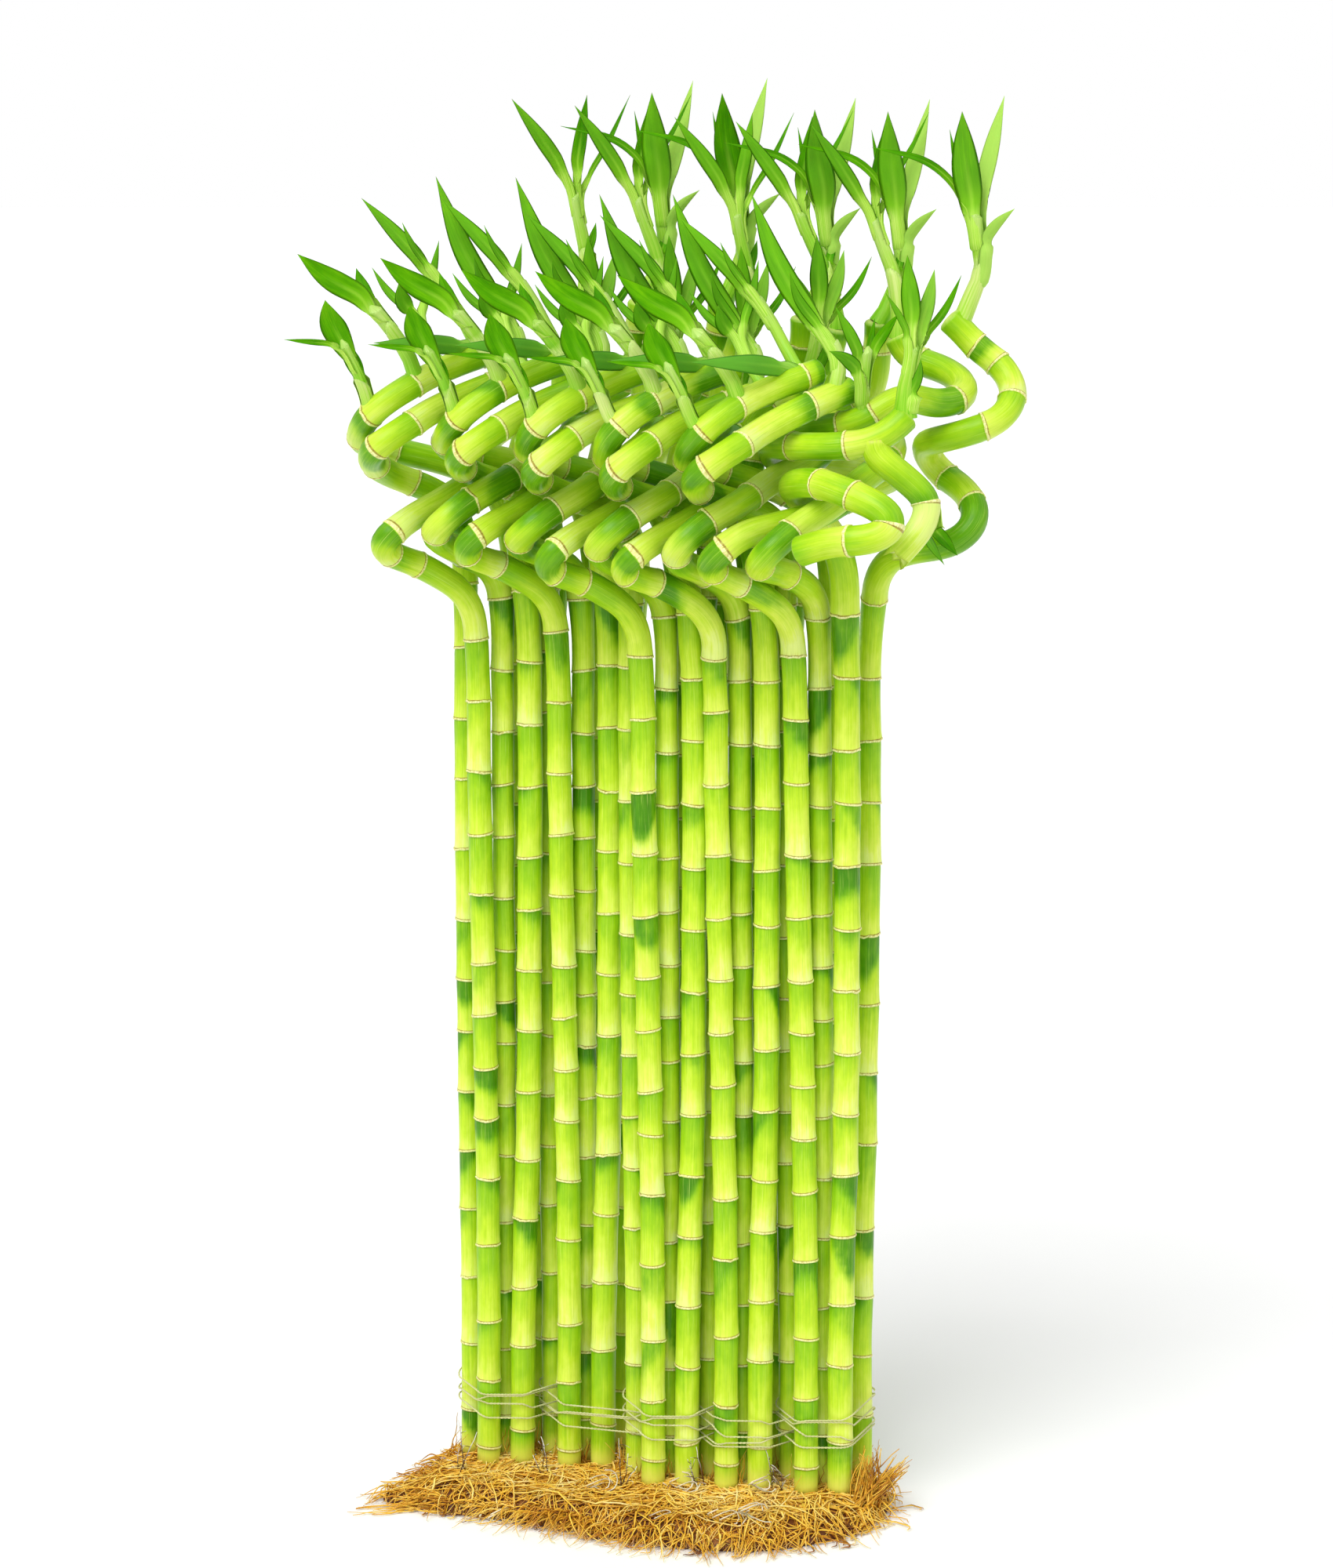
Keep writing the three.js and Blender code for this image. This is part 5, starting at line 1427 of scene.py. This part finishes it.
def add_dead_rootlet(skin, rng, t, low, high, share):
    """A dark dead rootlet with a few twigs, which stands between the groups."""
    start = low + rng.normal(0, 2.5, 3) * [1, 1, 0]
    end = low + (high - low) * share + rng.normal(0, 3.0, 3) * [1.2, 1, 0.5]
    sway = rng.normal(0, 1.6, 3) * [1, 1, 0]
    column = t[:, None]
    main = start + (end - start) * column + sway * np.sin(np.pi * column)
    main = main + rng.normal(0, 0.4, main.shape) * column
    paths, radii = [main], [ROOTLET_RADIUS - 0.2 * t]
    for k in range(1, len(t) - 1):
        if rng.uniform() < TWIG_CHANCE:
            way = rng.normal(0, 1, 3) * [1.3, 0.7, 0.3] + [0, 0, 0.5]
            curve = rng.normal(0, 1.6, 3)
            twig = way / np.linalg.norm(way) * rng.uniform(*TWIG_LENGTH)
            paths.append(main[k] + twig * column + curve * column**2)
            radii.append(TWIG_RADIUS - 0.1 * t)
    tones = np.full(len(paths), -0.5)
    strand_tubes(skin, np.array(paths), np.array(radii), tones, 0.3 + 0.7 * t[None], dead=1.0)


def build_tufts(material):
    """Tufts of roots, pale loops and dead rootlets, each where the photograph shows one."""
    rng = np.random.default_rng(TUFT_SEED)
    skin = root_skin()
    t = np.linspace(0, 1, TUFT_POINTS)
    for tuft in ROOT_TUFTS:
        add_tuft(skin, rng, t, *tuft)
    for middle, width in PALE_LOOPS:
        for _ in range(LOOPS_TOGETHER):
            add_pale_loop(skin, rng, t, seen(*middle), width)
    for foot, tip in DEAD_ROOTLETS:
        for share in ROOTLET_SHARES:
            add_dead_rootlet(skin, rng, t, seen(*foot), seen(*tip), share)
    skin.build("roots_tufts", material, "roots")


def string_turn(circles):
    """The closed line that a taut string takes round a group of stalks."""
    angles = np.radians(np.arange(0, 360, STRING_DEGREES))
    x, y, radius = circles.T
    reach = x[:, None] * np.cos(angles) + y[:, None] * np.sin(angles) + radius[:, None]
    widest = reach.argmax(axis=0)
    away = radius[widest]
    return np.stack([x[widest] + away * np.cos(angles), y[widest] + away * np.sin(angles)], axis=1)


def build_string(name, material, plants, top, rng):
    """A string of two twisted plies, wound four times round the stalks it holds, not quite evenly."""
    circles = []
    for plant in plants:
        points, thick = plant["limb"]["points"], plant["limb"]["thick"][0]
        on = points[np.argmax(points[:, 2] > top - STRING_DROP / 2)]
        circles.append([on[0], on[1], thick + RING_BULGE + STRING_CLEARANCE + STRING_RADIUS])
    turn = string_turn(np.array(circles))
    share = np.arange(len(turn) * STRING_TURNS + 1) / (len(turn) * STRING_TURNS)
    wave = np.sin(FULL_TURN * STRING_TURNS * share * STRING_BEAT + rng.uniform(0, 6.3))
    height = top - STRING_DROP * share + STRING_TILT * wave * np.sin(math.pi * share) ** 0.5
    path = np.column_stack([np.vstack([turn] * STRING_TURNS + [turn[:1]]), height])
    lengths = running_length(path)
    places = np.arange(0, lengths[-1], 1.0)
    centres = along_line(path, lengths, places)
    along, side, out = carried_frames(centres)
    radii = np.full((1, len(centres)), PLY_RADIUS)
    skin = Skin("tone", "tip")
    for ply in (0, math.pi):
        twist = (places * FULL_TURN / STRING_LAY + ply)[:, None]
        offset = np.cos(twist) * side + np.sin(twist) * out
        ply_path = centres + PLY_RADIUS * PLY_OFFSET * offset
        strand_tubes(skin, ply_path[None], radii, rng.uniform(-1, 1, 1), np.zeros(radii.shape))
    skin.build(name + "_twine", material, "string", name)


def shade(red, green, blue):
    """A colour given as it looks on a screen, 0 to 255, turned into light values."""
    parts = [c / 255 for c in (red, green, blue)]
    return tuple(c / 12.92 if c <= 0.04045 else ((c + 0.055) / 1.055) ** 2.4 for c in parts) + (1.0,)


class Value:
    """What a node gives: it is added, subtracted and multiplied by nodes of its own."""

    def __init__(self, shader, socket):
        self.shader, self.socket = shader, socket

    def __add__(self, other):
        return self.shader.math("ADD", self, other)

    def __sub__(self, other):
        return self.shader.math("SUBTRACT", self, other)

    def __mul__(self, other):
        return self.shader.math("MULTIPLY", self, other)


class Shader:
    """Short ways to make and join the nodes of one material."""

    def __init__(self, name, **constants):
        self.material = bpy.data.materials.new(name)
        self.material.use_nodes = True
        self.nodes = self.material.node_tree.nodes
        self.links = self.material.node_tree.links
        self.nodes.clear()
        out = self.nodes.new("ShaderNodeOutputMaterial")
        self.shader = self.nodes.new("ShaderNodeBsdfPrincipled")
        self.links.new(self.shader.outputs["BSDF"], out.inputs["Surface"])
        for key, value in constants.items():
            self.shader.inputs[key.replace("_", " ")].default_value = value

    def node(self, kind, output, inputs, **settings):
        """A node with these settings, and inputs fed by values, numbers or colours."""
        node = self.nodes.new("ShaderNode" + kind)
        for key, setting in settings.items():
            setattr(node, key, setting)
        for key, value in inputs.items():
            if isinstance(value, Value):
                self.links.new(value.socket, node.inputs[key])
            else:
                node.inputs[key].default_value = value
        return Value(self, node.outputs[output])

    def feed(self, name, value):
        self.links.new(value.socket, self.shader.inputs[name])

    def values(self, *names):
        return [self.node("Attribute", "Fac", {}, attribute_name=name) for name in names]

    def grain(self, *size):
        """Coordinates along the grain, each made so many times bigger."""
        grain = self.node("Attribute", "Vector", {}, attribute_name="grain")
        return self.node("VectorMath", 0, {0: grain, 1: size}, operation="MULTIPLY") if size else grain

    def place(self):
        return self.node("TexCoord", "Object", {})

    def math(self, operation, *values, clamp=False):
        return self.node("Math", 0, dict(enumerate(values)), operation=operation, use_clamp=clamp)

    def spread(self, *values):
        """A value from low to high, turned smoothly into one from 0 to 1 or from a third to a fourth."""
        inputs = dict(enumerate((*values, 0.0, 1.0)[:5]))
        return self.node("MapRange", 0, inputs, interpolation_type="SMOOTHSTEP")

    def noise(self, vector, scale, detail=3.0, rough=0.55):
        inputs = {"Vector": vector, "Scale": scale, "Detail": detail, "Roughness": rough}
        return self.node("TexNoise", "Fac", inputs)

    def ramp(self, value, *stops):
        ramp = self.node("ValToRGB", "Color", {"Fac": value})
        marks = ramp.socket.node.color_ramp.elements
        while len(marks) < len(stops):
            marks.new(1.0)
        for mark, (place, colour) in zip(marks, stops):
            mark.position = place
            mark.color = colour
        return ramp

    def mix(self, share, first, second):
        return self.node("Mix", 2, {0: share, 6: first, 7: second}, data_type="RGBA")

    def bump(self, height, strength, distance):
        inputs = {"Strength": strength, "Distance": distance, "Height": height}
        self.feed("Normal", self.node("Bump", "Normal", inputs))

    def finish(self, colour, rough):
        self.feed("Base Color", colour)
        self.feed("Roughness", rough)
        return self.material


def cane_green(look, streaks, fine, patches, along, tone, dark):
    """The canes' green: paler or deeper by internode, darker under the rings as painted shade, streaked and
    speckled.
    """
    way = along * 0.6 + tone * 0.17 + (streaks - 0.5) * 0.45 + (patches - 0.5) * 0.5
    green = look.ramp(
        look.math("ADD", way, 0.12, clamp=True),
        (0.0, shade(230, 243, 136)),
        (0.15, shade(222, 239, 88)),
        (0.4, shade(192, 225, 40)),
        (0.65, shade(156, 205, 18)),
        (1.0, shade(114, 178, 8)),
    )
    # Painted shade under the rings and in the coils' bends, made patchy by the streaks and patches
    under = (dark + (patches - 0.5) * 0.7 + (streaks - 0.5) * 0.5) * dark
    deep = look.ramp(
        under,
        (0.0, shade(140, 204, 8)),
        (0.4, shade(104, 172, 0)),
        (1.0, shade(66, 130, 0)),
    )
    green = look.mix(look.spread(under, 0.0, 0.85), green, deep)
    green = look.mix(look.spread(fine, 0.56, 0.72, 0.0, 0.35), green, shade(226, 242, 120))
    green = look.mix(look.spread(fine, 0.44, 0.3, 0.0, 0.3), green, shade(86, 156, 14))
    height = look.node("SeparateXYZ", 2, {0: look.place()})
    green = look.mix(look.spread(height, 0.47, 0.56, 0.0, 0.16), green, shade(120, 188, 10))
    green = look.mix(look.spread(height, 0.029, 0.014, 0.0, 0.75), green, shade(226, 224, 96))
    dusty = look.spread(along, 0.07, 0.0) * look.spread(streaks, 0.46, 0.6, 0.0, 0.5)
    return look.mix(dusty, green, shade(206, 190, 110))


def cane_material():
    look = Shader(
        "Cane",
        Subsurface_Weight=0.08,
        Subsurface_Radius=(0.7, 1.0, 0.15),
        Subsurface_Scale=0.003,
        Specular_IOR_Level=0.22,
    )
    along, lip, line, tone, dark, cut = look.values("along", "lip", "line", "tone", "dark", "cut")
    streaks = look.noise(look.grain(1.0, 1.0, 0.02), 0.9, 4.0, 0.6)
    fine = look.noise(look.grain(1.0, 1.0, 0.012), 3.6, 2.0, 0.6)
    patches = look.noise(look.grain(0.5, 0.5, 0.22), 0.35)
    green = cane_green(look, streaks, fine, patches, along, tone, dark)
    specks = look.noise(look.grain(1.0, 1.0, 0.6), 1.3)
    pale = look.ramp(
        specks,
        (0.3, shade(198, 182, 104)),
        (0.5, shade(232, 232, 150)),
        (0.7, shade(246, 246, 196)),
    )
    brown = look.ramp(
        specks,
        (0.35, shade(116, 84, 30)),
        (0.55, shade(166, 140, 56)),
        (0.7, shade(196, 186, 96)),
    )
    colour = look.mix(look.spread(lip, 0.3, 0.7), green, pale)
    colour = look.mix(look.spread(line, 0.25, 0.8, 0.0, 0.9), colour, brown)
    pith = look.noise(look.grain(0.3, 0.3, 0.3), 2.0)
    face = look.ramp(pith, (0.3, shade(188, 206, 96)), (0.7, shade(222, 232, 140)))
    colour = look.mix(cut, colour, face)
    look.bump(fine * 0.5 + streaks, 0.2, 0.0006)
    dull = look.math("MAXIMUM", lip, cut) * 0.65
    return look.finish(colour, look.math("MAXIMUM", look.spread(streaks, 0.2, 0.8, 0.26, 0.4), dull))


def stem_material():
    look = Shader("Shoot stem", Subsurface_Weight=0.06, Subsurface_Scale=0.003, Specular_IOR_Level=0.3)
    along, rim, tone, rise = look.values("along", "rim", "tone", "rise")
    streaks = look.noise(look.grain(1.0, 1.0, 0.02), 1.3, 4.0, 0.65)
    colour = look.ramp(
        look.math("ADD", along * 0.35 + streaks * 0.9, tone * 0.12, clamp=True),
        (0.2, shade(98, 174, 10)),
        (0.4, shade(136, 202, 30)),
        (0.6, shade(172, 216, 70)),
        (0.85, shade(212, 230, 134)),
    )
    colour = look.mix(look.spread(rise, 0.3, 1.0, 0.0, 0.4), colour, shade(110, 186, 18))
    specks = look.noise(look.grain(), 1.5)
    edge = look.ramp(specks, (0.4, shade(120, 172, 50)), (0.6, shade(206, 230, 140)))
    look.bump(streaks, 0.35, 0.0004)
    return look.finish(look.mix(rim * 0.5, colour, edge), look.spread(streaks, 0.2, 0.8, 0.34, 0.5))


def leaf_material():
    look = Shader("Leaf", Subsurface_Weight=0.03, Subsurface_Scale=0.002, Specular_IOR_Level=0.04)
    along, across, clasp, side, tone = look.values("along", "across", "clasp", "side", "tone")
    veins = look.noise(look.grain(2.2, 1.0, 0.012), 1.3, 4.0, 0.7)
    patches = look.noise(look.grain(0.25, 1.0, 0.06), 0.8)
    off_middle = look.math("ABSOLUTE", across)
    colour = look.ramp(
        look.math("ADD", veins * 0.55 + patches * 0.45, tone * 0.08, clamp=True),
        (0.25, shade(36, 98, 0)),
        (0.42, shade(56, 130, 0)),
        (0.56, shade(78, 156, 0)),
        (0.74, shade(112, 186, 8)),
    )
    streak = look.mix(look.spread(veins, 0.4, 0.62), shade(152, 212, 46), shade(212, 237, 120))
    layers = (
        (look.spread(along, 0.5, 0.0, 0.0, 0.8), shade(146, 210, 34)),
        (look.spread(off_middle, 0.75, 1.0, 0.0, 0.55), shade(40, 96, 10)),
        (look.spread(off_middle, 0.3, 0.0) * look.spread(along, 0.75, 0.05, 0.0, 0.6), shade(176, 226, 70)),
        (look.spread(side, 0.0, -0.5, 0.0, 0.3), shade(132, 200, 50)),
        (look.spread(clasp, 0.2, 0.9, 0.0, 0.88), streak),
        (look.spread(along, 0.97, 1.0, 0.0, 0.5), shade(120, 116, 50)),
        (look.spread(tone, -1.5, -2.0, 0.0, 0.5), shade(98, 172, 58)),
        (look.spread(tone, 1.4, 2.6, 0.0, 0.85), shade(170, 214, 92)),
    )
    for share, over in layers:
        colour = look.mix(share, colour, over)
    look.bump(veins, 0.3, 0.0004)
    return look.finish(colour, look.spread(veins, 0.3, 0.7, 0.4, 0.52))


def root_material():
    look = Shader("Root", Subsurface_Weight=0.05, Subsurface_Scale=0.002)
    tone, tip, dead = look.values("tone", "tip", "dead")
    along = look.noise(look.grain(0.6, 0.6, 0.2), 1.0, 4.0, 0.65)
    clumps = look.noise(look.place(), 45.0)
    # tone carries each strand's own tone and the painted shade of the felt and of low-lying strands
    colour = look.ramp(
        look.math("ADD", tone * 0.26 + along * 0.7 + (clumps - 0.5) * 0.9, 0.08, clamp=True),
        (0.0, shade(96, 46, 0)),
        (0.2, shade(182, 116, 12)),
        (0.4, shade(230, 170, 36)),
        (0.6, shade(247, 200, 66)),
        (0.8, shade(253, 221, 118)),
        (1.0, shade(253, 234, 172)),
    )
    colour = look.mix(look.spread(tip, 0.6, 1.0, 0.0, 0.85), colour, shade(228, 222, 204))
    grey = look.spread(look.noise(look.place(), 26.0, 2.0), 0.64, 0.76) * 0.25
    colour = look.mix(grey, colour, shade(208, 200, 186))
    twig = look.mix(look.spread(tip, 0.6, 0.95), shade(84, 56, 30), shade(232, 226, 214))
    look.bump(along, 0.4, 0.0004)
    return look.finish(look.mix(dead, colour, twig), look.spread(along, 0.3, 0.7, 0.5, 0.75))


def string_material():
    look = Shader("String", Sheen_Weight=0.2)
    fibres = look.noise(look.grain(1.0, 1.0, 0.3), 2.4, 4.0, 0.7)
    slubs = look.noise(look.grain(0.2, 0.2, 0.05), 1.0)
    colour = look.ramp(
        fibres * 0.6 + slubs * 0.4,
        (0.3, shade(176, 172, 96)),
        (0.5, shade(222, 222, 152)),
        (0.7, shade(240, 240, 196)),
    )
    look.bump(fibres, 0.5, 0.0003)
    return look.finish(colour, look.spread(fibres, 0.3, 0.7, 0.55, 0.8))


def floor_material():
    look = Shader("Floor", Roughness=0.8, Specular_IOR_Level=0.2)
    cloud = look.noise(look.place(), 3.0, 2.0)
    look.feed("Base Color", look.ramp(cloud, (0.3, (0.9, 0.9, 0.9, 1)), (0.7, (0.93, 0.93, 0.93, 1))))
    return look.material


def add_bend_ring(plant):
    """Puts a leaf scar at the tight bend of the coil, where the stalk has one."""
    place = MORE_RINGS.get(plant["stalk"]["name"])
    if place:
        limb = plant["limb"]
        limb["bend_ring"] = nearest_index(limb["points"], place_in_group(plant["group"], place))
        limb["rings"] = sorted({*limb["rings"], limb["bend_ring"]})


def set_leaf_looks(grown):
    """Gives some leaves a colour of their own, and some first blades a shape of their own."""
    for which, tone in LEAF_TONES.get(grown["name"], {}).items():
        grown["leaves"][which]["tone"] = tone
    if grown["name"] in LONG_BLADES:
        grown["leaves"][0]["blade"] = LONG_BLADES[grown["name"]]


def build_plants(plants):
    """A finer cane for every stalk, and its shoots' stems and leaves."""
    cane = cane_material()
    looks = {"cane": cane, "branch": cane, "stems": stem_material(), "leaves": leaf_material()}
    for number, plant in enumerate(plants):
        rng = np.random.default_rng(PLANT_SEED + number)
        name = f"{plant['group']['name']}_{plant['stalk']['name']}"
        skins = {kind: Skin(*SKIN_VALUES[kind]) for kind in looks}
        add_bend_ring(plant)
        add_cane(skins["cane"], plant["limb"], rng)
        for grown in plant["shoots"]:
            stem = grown["stem"]
            if grown["name"] == "sheathed_branch":
                ring = nearest_index(stem["points"], place_in_group(plant["group"], BRANCH_RING))
                add_cane(skins["branch"], stem | {"rings": [ring], "curl_from": 0}, rng, torn_end=True)
            else:
                add_stem(skins["stems"], stem, grown["leaves"], rng)
            set_leaf_looks(grown)
            first_up = sorted(grown["leaves"], key=lambda leaf: -leaf["parent_index"])
            for order, leaf in enumerate(first_up):
                add_leaf(skins["leaves"], leaf, order, rng)
        for kind, skin in skins.items():
            if skin.count:
                skin.build(f"{kind}_{name}", looks[kind], "stalk", "stalk_" + name)


def build_ground(plants):
    """The root mat with its loose roots, and the strings."""
    roots = root_material()
    reach = outline_reach()
    feet = np.array([plant["limb"]["points"][0] for plant in plants])
    build_felt(roots, reach)
    build_roots(roots, reach, feet)
    build_fringe(roots, reach, feet)
    build_tufts(roots)
    twine = string_material()
    rng = np.random.default_rng(STRING_SEED)
    per_group = len(STALKS)
    back_left = [stalk["name"] for stalk in STALKS].index("back_left")
    for n, group in enumerate(GROUPS):
        held = plants[n * per_group : (n + 1) * per_group]
        if n + 1 < len(GROUPS):
            held = held + [plants[(n + 1) * per_group + back_left]]
        build_string("tie_" + group["name"], twine, held, STRING_TOP - (n % 2) * STRING_SHIFT, rng)


def studio_world():
    """Even white behind the part, and a soft light that is brighter from above than from the sides."""
    world = bpy.data.worlds.new("studio")
    world.use_nodes = True
    nodes, links = world.node_tree.nodes, world.node_tree.links
    nodes.clear()
    kinds = ("OutputWorld", "MixShader", "LightPath", "Background", "Background")
    out, both, path, lit, behind = (nodes.new("ShaderNode" + kind) for kind in kinds)
    kinds = ("TexCoord", "SeparateXYZ", "MapRange")
    way, split, bright = (nodes.new("ShaderNode" + kind) for kind in kinds)
    for socket, value in zip(bright.inputs[1:5], (-0.1, 0.9, SIDE_LIGHT, TOP_LIGHT)):
        socket.default_value = value
    for white in (lit, behind):
        white.inputs["Color"].default_value = (1, 1, 1, 1)
    behind.inputs["Strength"].default_value = 1.0
    links.new(way.outputs["Generated"], split.inputs[0])
    links.new(split.outputs[2], bright.inputs[0])
    links.new(bright.outputs[0], lit.inputs["Strength"])
    given = (path.outputs["Is Camera Ray"], lit.outputs[0], behind.outputs[0])
    for output, socket in zip(given, both.inputs):
        links.new(output, socket)
    links.new(both.outputs[0], out.inputs["Surface"])
    return world


def soft_sun(name, bearing, height, power):
    """A wide soft lamp far off: bearing in degrees from the front towards the right, and height."""
    light = bpy.data.lights.new(name, "SUN")
    light.angle = math.radians(SUN_WIDTH)
    light.energy = power
    lamp = bpy.data.objects.new(name, light)
    bpy.context.scene.collection.objects.link(lamp)
    lamp.rotation_euler = (math.radians(90 - height), 0, math.radians(bearing))


def light_and_camera():
    """A pale floor, soft studio light and the camera where the photograph was taken from."""
    bpy.ops.mesh.primitive_plane_add(size=FLOOR_SIZE, location=(0, 0, FLOOR_HEIGHT))
    floor = bpy.context.object
    floor.name = "floor"
    floor.data.materials.append(floor_material())
    soft_sun("key", *KEY_PLACE, KEY_LIGHT)
    soft_sun("fill", *FILL_PLACE, FILL_LIGHT)
    scene = bpy.context.scene
    scene.world = studio_world()
    scene.view_settings.view_transform = "Standard"
    lens = bpy.data.cameras.new("camera")
    lens.lens = VIEW_DISTANCE / GRID_STEP * SENSOR / FRAME_HEIGHT
    camera = bpy.data.objects.new("camera", lens)
    scene.collection.objects.link(camera)
    camera.location = (0, -VIEW_DISTANCE * math.cos(VIEW_TILT) * MM, EYE_HEIGHT * MM)
    camera.rotation_euler = (math.pi / 2 - VIEW_TILT, 0, 0)
    scene.camera = camera


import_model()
grown_plants = grow()
build_plants(grown_plants)
build_ground(grown_plants)
light_and_camera()
bpy.context.view_layer.update()
